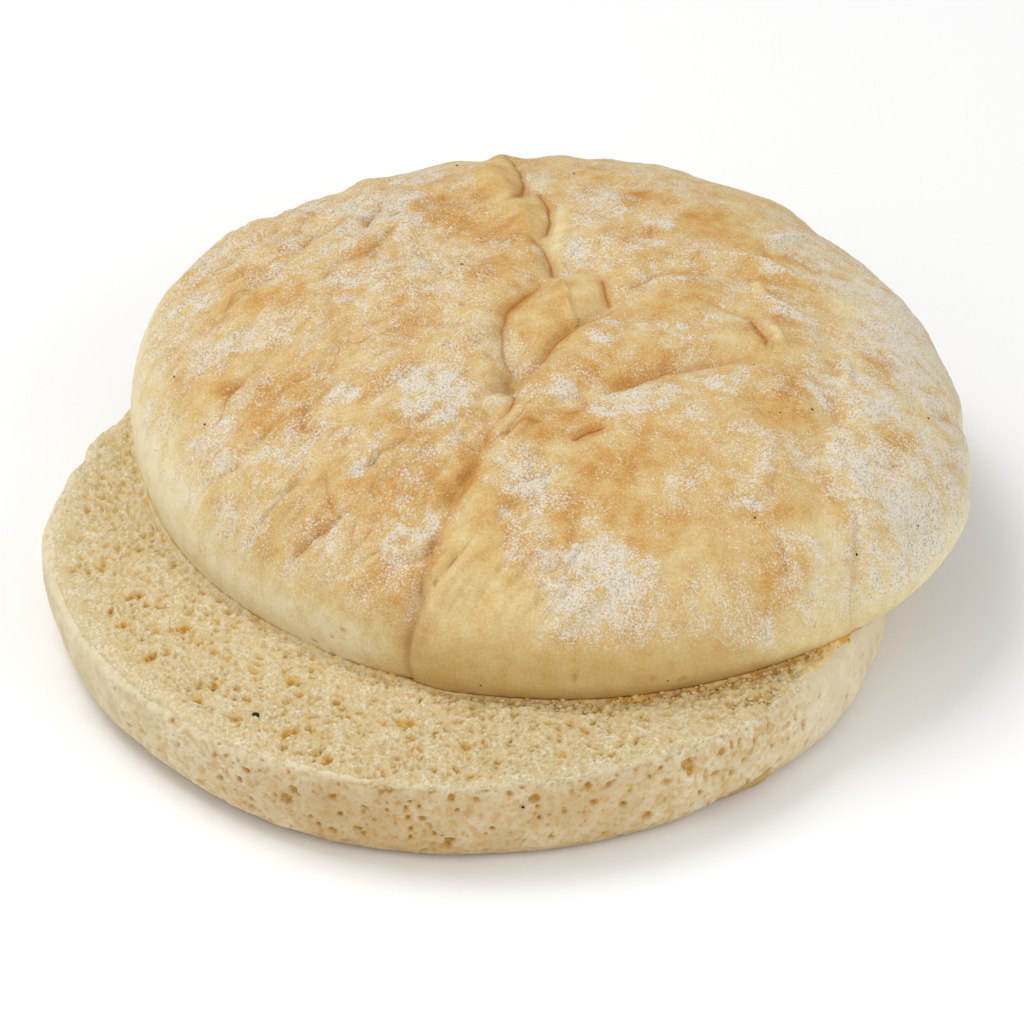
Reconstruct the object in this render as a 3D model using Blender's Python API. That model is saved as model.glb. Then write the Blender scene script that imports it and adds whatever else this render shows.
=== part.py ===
"""Rustic bun, a round flat floured roll cut in two across its height.

The base is the bottom of the roll: a flat disc with a cut face on top and a pale side
that bulges a little below the cut. The crown is the top of the roll: a low dome with a
rounded shoulder, creased where the dough was folded. It lies cut face down on the base,
slipped back and to the right, so that a crescent of the base's crumb shows.

Units are metres, +Z is up, and the bun's front is towards -Y. The origin is the middle of
the bottom of the bun's box.
"""

import math
from collections import namedtuple

import bmesh
import bpy
import numpy as np

MM = 0.001

# Driving dimensions
BASE_RADIUS = 60.0 * MM  # at the cut
BASE_THICKNESS = 13.5 * MM
BASE_BULGE = 0.5 * MM  # how far the side stands out below the cut
BASE_FOOT_ROUND = 4.5 * MM  # rounding between the side and the flat bottom
BASE_LEAN = 3.5 * MM  # how far the foot draws in where the side leans in most
BASE_LEANS_AT = math.radians(135)  # which is at the back left
CROWN_RADIUS = 62.0 * MM  # at the widest part of its side
CROWN_HEIGHT = 27.7 * MM
CROWN_TUCK = 2.1 * MM  # how far its side draws in down to the cut
CROWN_WIDEST = 3.5 * MM  # height of the widest part above the cut
CROWN_FULLNESS = 2.25  # 2 is an ellipse's quarter, more is flatter on top
CROWN_SHIFT = (11.8 * MM, 21.7 * MM)  # from the base's middle, right and back
CUT_GAP = 0.3 * MM

# How finely each half is faceted
BASE_SIDES = 104
BASE_WALL_STEPS = 4
BASE_FOOT_STEPS = 4
CROWN_CELLS = 60  # across the crown's grid, each way

# An outline's wave: it adds height * cos(count * (angle - turn)) to the radius.
Wave = namedtuple("Wave", "count height turn")
CROWN_WAVES = (
    Wave(2, 2.1 * MM, math.radians(125)),
    Wave(3, 0.5 * MM, math.radians(58)),
    Wave(4, 1.1 * MM, math.radians(66)),
    Wave(5, 0.45 * MM, math.radians(-6)),
    Wave(6, 0.3 * MM, math.radians(27)),
)
BASE_WAVES = (
    Wave(2, 0.6 * MM, math.radians(7)),
    Wave(3, 0.6 * MM, math.radians(29)),
    Wave(4, 0.35 * MM, math.radians(-32)),
)

# A fold is a valley along a route seen from above, in mm from the crown's middle. Its
# banks are width away on either side, and its left bank, facing along the route, is
# raised by lift over its right bank.
Fold = namedtuple("Fold", "route width depth lift")
FOLDS = (
    # The seam between the two lobes, from the back shoulder to the centre
    Fold(((-10, 52), (-8, 44), (-2, 23), (1, 7)), 3.6 * MM, 1.3 * MM, -0.4 * MM),
    # The same seam passing left of the small lump in the centre
    Fold(((1, 7), (-5, -3), (-6.5, -10), (-5.5, -21)), 3.2 * MM, 1.2 * MM, -0.4 * MM),
    # The seam from the lump down to the front rim
    Fold(((-5.5, -21), (-9.5, -34), (-17, -48), (-20, -56), (-21, -64)), 4.4 * MM, 2.2 * MM, 0.6 * MM),
    # The right side of the lump
    Fold(((7.5, 9), (8.5, -2), (3.5, -9), (0, -15), (-5.5, -21)), 3.2 * MM, 1.3 * MM, 0.4 * MM),
    # Two tucks across the right lobe
    Fold(((8.5, -2), (15.5, 6), (28.5, 7.5)), 3.2 * MM, 0.8 * MM, 0.3 * MM),
    Fold(((5, -25), (15.5, -20), (28, -13)), 3.6 * MM, 1.2 * MM, 0.5 * MM),
    # A pleat in the right shoulder
    Fold(((37, -32), (39, -40), (41, -47)), 4.5 * MM, 0.6 * MM, 0.2 * MM),
)

# A swell is a soft rise, or a hollow where height is less than nothing, of the dome:
# its middle in mm from the crown's middle, its reach and its height.
Swell = namedtuple("Swell", "middle reach height")
SWELLS = (
    Swell((-30, 2), 17.0 * MM, 0.9 * MM),  # left lobe
    Swell((-24, -27), 12.0 * MM, 0.7 * MM),
    Swell((24, -31), 15.0 * MM, 0.9 * MM),  # right lobe
    Swell((24, 24), 14.0 * MM, 0.7 * MM),
    Swell((1, -6), 5.0 * MM, 0.6 * MM),  # the lump in the centre
    Swell((41, 0), 9.0 * MM, -0.8 * MM),
    Swell((-44, -16), 9.0 * MM, -0.5 * MM),
)


def outline_scale(points, radius, waves):
    """How much a waved outline stands out from its circle, at each point's angle."""
    angle = np.arctan2(points[:, 1], points[:, 0])
    stands_out = sum(w.height * np.cos(w.count * (angle - w.turn)) for w in waves)
    return 1 + stands_out / radius


def offset_from_route(points, route):
    """Distance of each point from a route seen from above, in metres.

    It is positive on the left of the route and negative on its right.
    """
    flat = points[:, :2]
    route = np.array(route) * MM
    best = np.full(len(flat), np.inf)
    signed = np.zeros(len(flat))
    for start, end in zip(route, route[1:]):
        run = end - start
        along = np.clip((flat - start) @ run / (run @ run), 0, 1)
        away = flat - (start + along[:, None] * run)
        distance = np.hypot(away[:, 0], away[:, 1])
        side = np.sign(run[0] * away[:, 1] - run[1] * away[:, 0])
        nearer = distance < best
        best = np.where(nearer, distance, best)
        signed = np.where(nearer, side * distance, signed)
    return signed


def fold_relief(points):
    """Height that the folds and swells add to the smooth dome at each point."""
    relief = np.zeros(len(points))
    for fold in FOLDS:
        offset = offset_from_route(points, fold.route) / fold.width
        valley = -fold.depth * np.exp(-(offset**2) * 2)
        raised_bank = fold.lift * offset * np.exp(-(offset**2) / 2)
        relief += valley + raised_bank
    for swell in SWELLS:
        away = points[:, :2] - np.array(swell.middle) * MM
        distance = np.hypot(away[:, 0], away[:, 1]) / swell.reach
        relief += swell.height * np.exp(-(distance**2))
    return relief


def spun_solid(profile, sides):
    """A closed mesh spun from a half profile of (radius, height) pairs, both ends on the axis."""
    bm = bmesh.new()
    points = [bm.verts.new((radius, 0, height)) for radius, height in profile]
    edges = [bm.edges.new(pair) for pair in zip(points, points[1:])]
    bmesh.ops.spin(
        bm, geom=points + edges, cent=(0, 0, 0), axis=(0, 0, 1), angle=math.tau, steps=sides, use_merge=True
    )
    bmesh.ops.remove_doubles(bm, verts=bm.verts, dist=0.001 * MM)
    bmesh.ops.recalc_face_normals(bm, faces=bm.faces)
    return bm


def disc_from_square(square):
    """Radius from 0 to 1, and angle, of points of the square from -1 to 1 wrapped onto a disc.

    Each square ring round the middle becomes a circle, so the cells stay even.
    """
    x, y = square[:, 0], square[:, 1]
    radius = np.maximum(np.abs(x), np.abs(y))
    flatter = np.abs(x) > np.abs(y)
    over = np.where(flatter, x, y)
    share = np.divide(np.where(flatter, y, x), over, out=np.zeros_like(over), where=over != 0)
    quarter = np.where(flatter, share, 2 - share) * math.pi / 4
    return radius, quarter + np.where(over < 0, math.pi, 0)


def vertex_array(bm, read):
    """One row for each vertex of the mesh, as read from it."""
    return np.array([read(vertex)[:] for vertex in bm.verts])


def move_vertices(bm, places):
    for vertex, place in zip(bm.verts, places):
        vertex.co = place


def bread_material(name, colour, roughness):
    material = bpy.data.materials.new(name)
    material.use_nodes = True
    shader = material.node_tree.nodes["Principled BSDF"]
    shader.inputs["Base Color"].default_value = (*colour, 1)
    shader.inputs["Roughness"].default_value = roughness
    shader.inputs["Metallic"].default_value = 0
    return material


def bread_object(name, bm, material):
    """A smooth-shaded object from the finished mesh, with its cut edges kept sharp."""
    mesh = bpy.data.meshes.new(name)
    bm.to_mesh(mesh)
    bm.free()
    mesh.shade_smooth()
    mesh.set_sharp_from_angle(angle=math.radians(50))
    mesh.materials.append(material)
    piece = bpy.data.objects.new(name, mesh)
    bpy.context.collection.objects.link(piece)
    return piece


def base_profile():
    """Half profile of the base, from the middle of its bottom out and up to the middle of its cut."""
    widest = BASE_RADIUS + BASE_BULGE
    foot = [math.radians(90) * step / BASE_FOOT_STEPS for step in range(BASE_FOOT_STEPS + 1)]
    rise = [step / BASE_WALL_STEPS for step in range(1, BASE_WALL_STEPS + 1)]
    profile = [(0, 0)]
    for angle in foot:
        radius = widest - BASE_FOOT_ROUND * (1 - math.sin(angle))
        profile.append((radius, BASE_FOOT_ROUND * (1 - math.cos(angle))))
    for part in rise:
        height = BASE_FOOT_ROUND + (BASE_THICKNESS - BASE_FOOT_ROUND) * part
        profile.append((widest - BASE_BULGE * part**2, height))
    profile.append((0, BASE_THICKNESS))
    return profile


def crown_profile():
    """Radius and height along the crown's skin, from the top of the dome down to the rim of the cut.

    The dome is a quarter of a superellipse. Below its widest part the side draws in again.
    """
    down = np.linspace(math.pi / 2, 0, 200)
    dome_radius = CROWN_RADIUS * np.abs(np.cos(down)) ** (2 / CROWN_FULLNESS)
    dome_height = CROWN_WIDEST + (CROWN_HEIGHT - CROWN_WIDEST) * np.sin(down) ** (2 / CROWN_FULLNESS)
    tuck = np.linspace(0, 1, 20)[1:]
    tuck_radius = CROWN_RADIUS - CROWN_TUCK * (1 - np.cos(tuck * math.pi / 2))
    tuck_height = CROWN_WIDEST * (1 - tuck)
    return np.append(dome_radius, tuck_radius), np.append(dome_height, tuck_height)


def make_base():
    bm = spun_solid(base_profile(), BASE_SIDES)
    places = vertex_array(bm, lambda vertex: vertex.co)
    angle = np.arctan2(places[:, 1], places[:, 0])
    lean = BASE_LEAN * (1 + np.cos(angle - BASE_LEANS_AT)) / 2
    lean *= (1 - places[:, 2] / BASE_THICKNESS) ** 2  # none at the cut, most at the foot
    scale = outline_scale(places, BASE_RADIUS, BASE_WAVES) - lean / BASE_RADIUS
    places[:, :2] *= scale[:, None]
    move_vertices(bm, places)
    return bread_object("bun_base", bm, bread_material("pale_crumb", (0.66, 0.53, 0.31), 0.9))


def make_crown():
    bm = bmesh.new()
    bmesh.ops.create_grid(bm, x_segments=CROWN_CELLS, y_segments=CROWN_CELLS, size=1)
    rim = [edge for edge in bm.edges if edge.is_boundary]
    share, angle = disc_from_square(vertex_array(bm, lambda vertex: vertex.co))
    radius, height = crown_profile()
    along = np.append(0, np.cumsum(np.hypot(np.diff(radius), np.diff(height))))
    reach = np.interp(share * along[-1], along, radius)
    places = np.column_stack(
        (reach * np.cos(angle), reach * np.sin(angle), np.interp(share * along[-1], along, height))
    )
    places[:, :2] *= outline_scale(places, CROWN_RADIUS, CROWN_WAVES)[:, None]
    move_vertices(bm, places)
    bm.normal_update()
    push = vertex_array(bm, lambda vertex: vertex.normal)
    push[places[:, 2] < 0.01 * MM, 2] = 0  # the rim of the cut moves only in its own plane
    places += push * fold_relief(places)[:, None]
    places += (*CROWN_SHIFT, BASE_THICKNESS + CUT_GAP)
    move_vertices(bm, places)
    bmesh.ops.edgeloop_fill(bm, edges=rim)  # the flat cut face
    bmesh.ops.recalc_face_normals(bm, faces=bm.faces)
    return bread_object("bun_crown", bm, bread_material("golden_crust", (0.68, 0.45, 0.2), 0.75))


def centre_over_origin(pieces):
    """Shift the pieces together, so that their box stands centred on the origin."""
    corners = np.array([vertex.co[:] for piece in pieces for vertex in piece.data.vertices])
    middle = (corners.min(axis=0) + corners.max(axis=0)) / 2
    for piece in pieces:
        piece.location = (-middle[0], -middle[1], 0)


for old in list(bpy.data.objects):
    bpy.data.objects.remove(old, do_unlink=True)
centre_over_origin([make_base(), make_crown()])
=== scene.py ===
"""Rustic bun: a round, flat, floured roll cut in two across its height.

The base lies on the floor with its crumb up. The crown lies on it cut face down, slipped back and to the
right. Lengths are in millimetres until a mesh is written, +Z is up, and the bun's front is towards -Y.
"""

import itertools
import math

import bpy
import mathutils
import numpy as np
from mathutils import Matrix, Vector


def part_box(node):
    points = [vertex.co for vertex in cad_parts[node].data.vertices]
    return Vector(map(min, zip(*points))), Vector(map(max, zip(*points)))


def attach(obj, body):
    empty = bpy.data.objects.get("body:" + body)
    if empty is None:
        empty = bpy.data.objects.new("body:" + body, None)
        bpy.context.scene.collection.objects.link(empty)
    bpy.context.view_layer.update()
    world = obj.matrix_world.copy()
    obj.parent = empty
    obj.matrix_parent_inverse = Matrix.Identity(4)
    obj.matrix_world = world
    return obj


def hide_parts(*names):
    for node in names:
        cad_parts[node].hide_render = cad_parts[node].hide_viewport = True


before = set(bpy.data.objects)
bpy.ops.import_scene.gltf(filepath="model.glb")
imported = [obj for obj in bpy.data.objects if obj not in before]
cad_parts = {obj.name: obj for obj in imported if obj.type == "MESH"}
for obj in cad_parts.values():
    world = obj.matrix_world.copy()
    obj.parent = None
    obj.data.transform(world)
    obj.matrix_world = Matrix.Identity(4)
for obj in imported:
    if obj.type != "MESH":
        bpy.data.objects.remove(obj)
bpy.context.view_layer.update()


# ------------------
# Skin of the base: the flat bottom crust and the side of the roll. Wheat dough, baked soft against the rolls
# beside it, so the side is pale and its bubbles lie open as small pits. It wraps up and over the cut's edge.
# ------------------

MM = 0.001
BASE_LOW, BASE_HIGH = (np.array(corner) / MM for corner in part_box("bun_base"))
BASE_RADIUS = 60.0  # at the cut
BASE_THICKNESS = BASE_HIGH[2]
BASE_BULGE = 0.5  # how far the side stands out below the cut
FOOT_ROUND = 4.5  # rounding between the side and the flat bottom
BASE_LEAN = 3.5  # how far the foot draws in at the back left
BASE_LEANS_AT = math.radians(135)
BASE_WAVES = ((2, 0.6, 7), (3, 0.6, 29), (4, 0.35, -32))  # count, height, turn in degrees
OFF_BOX_MIDDLE = np.array([-0.11, 0.70])  # from the middle of the base's box to the middle of its outline
BASE_MIDDLE = (BASE_LOW[:2] + BASE_HIGH[:2]) / 2 + OFF_BOX_MIDDLE
SKIN_COLUMNS = 960
FRONT = math.radians(268)
FRONT_DRAWN = 0.42  # how strongly the columns are drawn together towards the front
CRUMB_DEPTH = 3.0  # thickness of the crumb layer that is laid into the skin
SHOULDER = 1.3  # rounding of the cut's edge
MORE_SHOULDER = 2.2  # how much larger it is at the right
SKIN_BAND = 1.2  # how far the skin runs in under the edge of the crumb


def smooth(value, low, high):
    """0 up to low and 1 from high on, with an S between them: 3 t^2 - 2 t^3 of the share t of the way."""
    share = np.clip((value - low) / (high - low), 0, 1)
    return share * share * (3 - 2 * share)


def between(value, rises, rises_to, falls, falls_to):
    """1 between a rise and a fall, 0 outside them, with an S at each."""
    return smooth(value, rises, rises_to) * smooth(value, falls_to, falls)


def cell_number(cells, seed):
    """A number from 0 to 1 for each lattice cell: its whole numbers are multiplied, mixed and shifted."""
    mixed = np.full(cells.shape[:-1], seed * 7919 + 13, np.uint32)
    for axis, factor in zip(range(cells.shape[-1]), (0x9E3779B1, 0x85EBCA77, 0xC2B2AE3D)):
        mixed ^= cells[..., axis].astype(np.uint32) * np.uint32(factor)
        mixed ^= mixed >> np.uint32(15)
        mixed *= np.uint32(0x2C1B3C6D)
        mixed ^= mixed >> np.uint32(12)
    return mixed / 2.0**32


def bumps(places, size, seed):
    """Smooth bumps about size across and from about -1 to 1.

    Each lattice corner has a random slope, and a place blends the heights that its corners' slopes give it.
    """
    axes = places.shape[-1]
    scaled = places / size
    corner = np.floor(scaled).astype(np.int64)
    part = scaled - corner
    blend = part**3 * (part * (part * 6 - 15) + 10)
    height = np.zeros(places.shape[:-1])
    for step in itertools.product((0, 1), repeat=axes):
        share = np.prod(np.where(step, blend, 1 - blend), axis=-1)
        for axis in range(axes):
            slope = cell_number(corner + step, seed * 5 + axis) * 2 - 1
            height += share * slope * (part[..., axis] - step[axis])
    return height * 1.6


def sway(places, reach, size, seed):
    """How far each place is moved along every axis, up to about reach, by bumps of the size."""
    return reach * np.stack([bumps(places, size, seed + axis) for axis in range(places.shape[-1])], axis=-1)


def bubbles(places, size, seed):
    """Distance to the nearest of scattered middles, one in each cell of the size, and that bubble's number.

    The distance is in cells. The number, from 0 to 1, is the bubble's own.
    """
    axes = places.shape[-1]
    scaled = places / size
    cell = np.floor(scaled).astype(np.int64)
    nearest = np.full(places.shape[:-1], 9.0)
    number = np.zeros(places.shape[:-1])
    for step in itertools.product((-1, 0, 1), repeat=axes):
        beside = cell + step
        squared = np.zeros(places.shape[:-1])
        for axis in range(axes):
            middle = beside[..., axis] + 0.15 + 0.7 * cell_number(beside, seed * 5 + axis)
            squared += (scaled[..., axis] - middle) ** 2
        nearer = squared < nearest**2
        nearest = np.where(nearer, np.sqrt(squared), nearest)
        number = np.where(nearer, cell_number(beside, seed * 5 + 4), number)
    return nearest, number


def open_bubbles(places, size, seed, least, more, slope, share):
    """Where bubbles lie open: 1 in the middle of each, 0 outside it, and only the share of them.

    A bubble reaches out by least to least plus more of the size, and is 1 within the slope's share of that.
    """
    distance, number = bubbles(places, size, seed)
    reach = least + more * cell_number((number * 1e6).astype(np.int64)[..., None], 7)
    return smooth(distance, reach, reach * slope) * (number < share)


def outline_scale(angle, radius, waves):
    """An outline's size at each angle: 1 plus the sum of each wave's height times its cosine, over radius."""
    stands_out = sum(height * np.cos(count * (angle - math.radians(turn))) for count, height, turn in waves)
    return 1 + stands_out / radius


def turned(radius, angle, *height):
    """Places at a radius and an angle, and at a height if one is given."""
    return np.stack((radius * np.cos(angle), radius * np.sin(angle), *height), axis=-1)


def outward(places):
    """Unit normals of a grid of places: the cross product of its steps along the columns and the rows."""
    across = np.gradient(places, axis=1)
    along = np.gradient(places, axis=0)
    normal = np.cross(across, along)
    return normal / np.maximum(np.linalg.norm(normal, axis=-1, keepdims=True), 1e-9)


def bread_piece(name, places, faces, marks, material, cad_node):
    """A smooth mesh from places in millimetres and faces, in the place of a solid of the model.

    Each mark is a named number at every vertex, and is 0 at those that it has no number for.
    """
    places = np.reshape(places, (-1, 3))
    mesh = bpy.data.meshes.new(name)
    mesh.from_pydata(places * MM, [], faces)
    for mark, numbers in marks.items():
        at_vertices = np.zeros(len(places), np.float32)
        at_vertices[: np.size(numbers)] = np.ravel(numbers)
        mesh.attributes.new(mark, "FLOAT", "POINT").data.foreach_set("value", at_vertices)
    mesh.shade_smooth()
    mesh.materials.append(material)
    mesh.validate()
    piece = bpy.data.objects.new(name, mesh)
    bpy.context.scene.collection.objects.link(piece)
    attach(piece, "root")
    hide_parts(cad_node)


def paint(code):
    """Linear colour of an sRGB hex code."""
    part = np.array([int(code[at : at + 2], 16) for at in (0, 2, 4)]) / 255
    linear = np.where(part <= 0.04045, part / 12.92, ((part + 0.055) / 1.055) ** 2.4)
    return (*linear.tolist(), 1.0)


COLOURS = {"data_type": "RGBA"}  # makes a mixing node mix colours: input 0 is the share of input 7 over 6
RANGE = ("Value", "From Min", "From Max", "To Min", "To Max")  # inputs of a node that maps a range


def join(tree, source, socket):
    """Links an output to a socket. A node stands for its first output that is in use."""
    if isinstance(source, bpy.types.Node):
        source = next(output for output in source.outputs if output.enabled)
    tree.links.new(source, socket)


def node(tree, kind, settings=None, inputs=None, stops=None):
    """Adds a shader node with its settings, its inputs (values, nodes or outputs) and a ramp's stops."""
    made = tree.nodes.new("ShaderNode" + kind)
    for name, value in (settings or {}).items():
        setattr(made, name, value)
    for name, value in (inputs or {}).items():
        if isinstance(value, (bpy.types.Node, bpy.types.NodeSocket)):
            join(tree, value, made.inputs[name])
        else:
            made.inputs[name].default_value = value
    for index, (position, code) in enumerate(stops or ()):
        ramp = made.color_ramp.elements
        stop = ramp[index] if index < 2 else ramp.new(position)
        stop.position = position
        stop.color = paint(code)
    return made


def bread(name):
    """An empty bread material, its node tree, its shader and the place on the piece, in metres."""
    material = bpy.data.materials.new(name)
    material.use_nodes = True
    tree = material.node_tree
    shader = tree.nodes["Principled BSDF"]
    shader.inputs["IOR"].default_value = 1.4
    place = node(tree, "TexCoord").outputs["Object"]
    return material, tree, shader, place


def surface(tree, shader, colour, roughness, shine, relief=None):
    """Gives the shader its colour, roughness, strength of shine, and its fine relief if it has one."""
    join(tree, colour, shader.inputs["Base Color"])
    shader.inputs["Roughness"].default_value = roughness
    shader.inputs["Specular IOR Level"].default_value = shine
    if relief:
        join(tree, relief, shader.inputs["Normal"])


def soft_side_material():
    """Soft-baked dough skin: matt, pale cream, a little toasted at the foot, with honey-coloured bubbles."""
    material, tree, shader, place = bread("soft_baked_dough_skin")
    marks = ("hollow", "toasted", "paled")
    hollow, toasted, paled = (
        node(tree, "Attribute", {"attribute_name": mark}).outputs["Fac"] for mark in marks
    )
    mottle = node(tree, "TexNoise", inputs={"Vector": place, "Scale": 260, "Detail": 4})  # 4 mm clouds
    grain = node(tree, "TexNoise", inputs={"Vector": place, "Scale": 1900, "Detail": 3})  # 0.5 mm grain
    skin = node(
        tree, "ValToRGB", inputs={"Fac": mottle}, stops=((0.3, "CBBB95"), (0.5, "D9CCAB"), (0.68, "E3DAC0")),
    )
    fine = node(tree, "MapRange", inputs=dict(zip(RANGE, (grain, 0.32, 0.68, 0.0, 0.35))))
    grainy = node(tree, "Mix", COLOURS, {0: fine, 6: skin, 7: paint("C9B487")})
    edge = node(tree, "Mix", COLOURS, {0: paled, 6: grainy, 7: paint("E3DABD")})
    toast = node(tree, "Mix", COLOURS, {0: toasted, 6: edge, 7: paint("B08F58")})
    honey = node(tree, "ValToRGB", inputs={"Fac": grain}, stops=((0.35, "B5873C"), (0.6, "CDA45E")))
    pitted = node(tree, "Mix", COLOURS, {0: hollow, 6: toast, 7: honey})
    lifted = node(tree, "Bump", inputs={"Strength": 0.35, "Distance": 0.15 * MM, "Height": grain})
    surface(tree, shader, pitted, roughness=0.72, shine=0.25, relief=lifted)
    return material


# Single bubbles that lie open in the side: angle in degrees, depth below the cut, half width, half height.
SIDE_PITS = (
    (246, 5.5, 1.0, 0.9), (260, 1.0, 0.8, 0.6), (279, 2.5, 1.0, 0.75), (287, 4.5, 0.65, 0.6),
    (291, 5.8, 0.6, 0.55), (294.5, 9.0, 0.9, 0.6), (301, 3.0, 0.75, 1.8), (297.5, 4.3, 0.5, 0.5),
    (283, 5.2, 0.5, 0.4), (271.5, 1.9, 0.45, 0.4), (268, 8.6, 0.9, 0.5), (273.5, 6.8, 0.5, 0.45),
    (264.5, 5.1, 0.6, 0.5), (252.5, 3.3, 0.6, 0.55), (256, 7.9, 0.7, 0.5), (240, 3.1, 0.6, 0.5),
    (235.5, 6.4, 0.55, 0.5), (306, 2.6, 0.6, 0.6), (309, 2.4, 0.35, 0.9), (303.5, 5.6, 0.4, 1.6),
    (318, 4.0, 0.4, 0.6), (325, 3.4, 0.4, 0.5), (332, 8.0, 0.5, 0.4), (228, 4.6, 0.35, 0.35),
    (214, 3.0, 0.3, 0.3),
)
# Small bubbles of the side: size, share open, least reach and what the widest adds to it, depth, seed.
SKIN_BUBBLES = (
    (3.1, 0.5, 0.12, 0.22, 0.85, 51), (1.8, 0.6, 0.14, 0.22, 0.55, 52), (1.0, 0.75, 0.16, 0.22, 0.3, 53),
)
TORN_SECTOR = (302.0, 314.5)  # where the bottom crust shows under a torn edge of the skin
TORN_EDGE, TORN_RISE = 11.4, 1.9  # how far below the cut the torn edge starts, and how far it rises
TORN_DEPTH = 0.75
# Bites in the outline: angle in degrees, width in degrees, depth. Below 0 it bulges.
RIM_BITES = (
    (150.5, 3.2, 0.9), (160.5, 2.6, 1.0), (167, 2.5, 0.4), (181, 8.0, -0.9), (226, 17, 1.1), (341, 4.0, 0.4),
)


def smooth_side(angle):
    """1 at the right, where the skin wraps up over the cut's edge in a smooth shoulder, and 0 elsewhere."""
    degrees = np.degrees(angle) % 360
    return between(degrees, 314, 329, 346, 362)


def rounding(angle):
    """How far towards its most the cut's edge is rounded: fully at the right, less than half at the left."""
    degrees = np.degrees(angle) % 360
    return smooth_side(angle) + 0.45 * between(degrees, 150, 185, 222, 262)


def rim_dents(angle):
    """Small bites in the outline at the back left, and where it bulges or draws in, in mm at each angle."""
    degrees = np.degrees(angle) % 360
    dents = 0
    for middle, width, depth in RIM_BITES:
        dents += depth * np.exp(-(((degrees - middle) / width) ** 2))
    return dents


def skin_grid():
    """Smooth places of the skin, rows by columns, and how much of the relief each row takes.

    The profile runs from the middle of the bottom out and round the foot, up the side, round the shoulder, in
    over the cut, and back to the axis under the crumb, so that the skin is one closed body.
    """
    even = np.linspace(0, math.tau, SKIN_COLUMNS, endpoint=False)
    angle = even - FRONT_DRAWN * np.sin(even - FRONT)
    widest = BASE_RADIUS + BASE_BULGE
    shoulder = SHOULDER + MORE_SHOULDER * rounding(angle)
    flat = np.ones_like(angle)

    bottom = 1 - (1 - np.linspace(0, 1, 12)[1:-1]) ** 1.6
    foot = np.linspace(0, math.pi / 2, 22)
    up = np.linspace(0, 1, 40)[1:-1, None]
    over = np.linspace(0, math.pi / 2, 10)[:, None]
    inward = np.linspace(0, 1, 12)[1:, None]

    wall_height = FOOT_ROUND + up * (BASE_THICKNESS - shoulder - FOOT_ROUND)
    radius = np.vstack(
        (
            np.outer(bottom * (widest - FOOT_ROUND), flat),
            np.outer(widest - FOOT_ROUND * (1 - np.sin(foot)), flat),
            widest - BASE_BULGE * up**2 * flat,
            BASE_RADIUS - shoulder * (1 - np.cos(over)),
            BASE_RADIUS - shoulder - SKIN_BAND * inward,
            (BASE_RADIUS - shoulder - SKIN_BAND - 0.3)[None],
            np.outer((30.0, 0.01), flat),
        )
    )
    sunk = BASE_THICKNESS - CRUMB_DEPTH
    height = np.vstack(
        (
            np.outer(bottom * 0, flat),
            np.outer(FOOT_ROUND * (1 - np.cos(foot)), flat),
            wall_height,
            BASE_THICKNESS - shoulder * (1 - np.sin(over)),
            BASE_THICKNESS - 1.2 * inward**1.6 * flat,
            np.outer((sunk, sunk, sunk), flat),
        )
    )
    scale = outline_scale(angle, BASE_RADIUS, BASE_WAVES)
    lean = BASE_LEAN * (1 + np.cos(angle - BASE_LEANS_AT)) / 2 * (1 - height / BASE_THICKNESS) ** 2
    radius = radius * (scale - (lean + rim_dents(angle)) / BASE_RADIUS)
    rows = len(radius)
    places = turned(radius, angle, height)
    takes_relief = np.ones(rows)
    takes_relief[-4:] = 0
    return places, angle, takes_relief[:, None]


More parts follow.
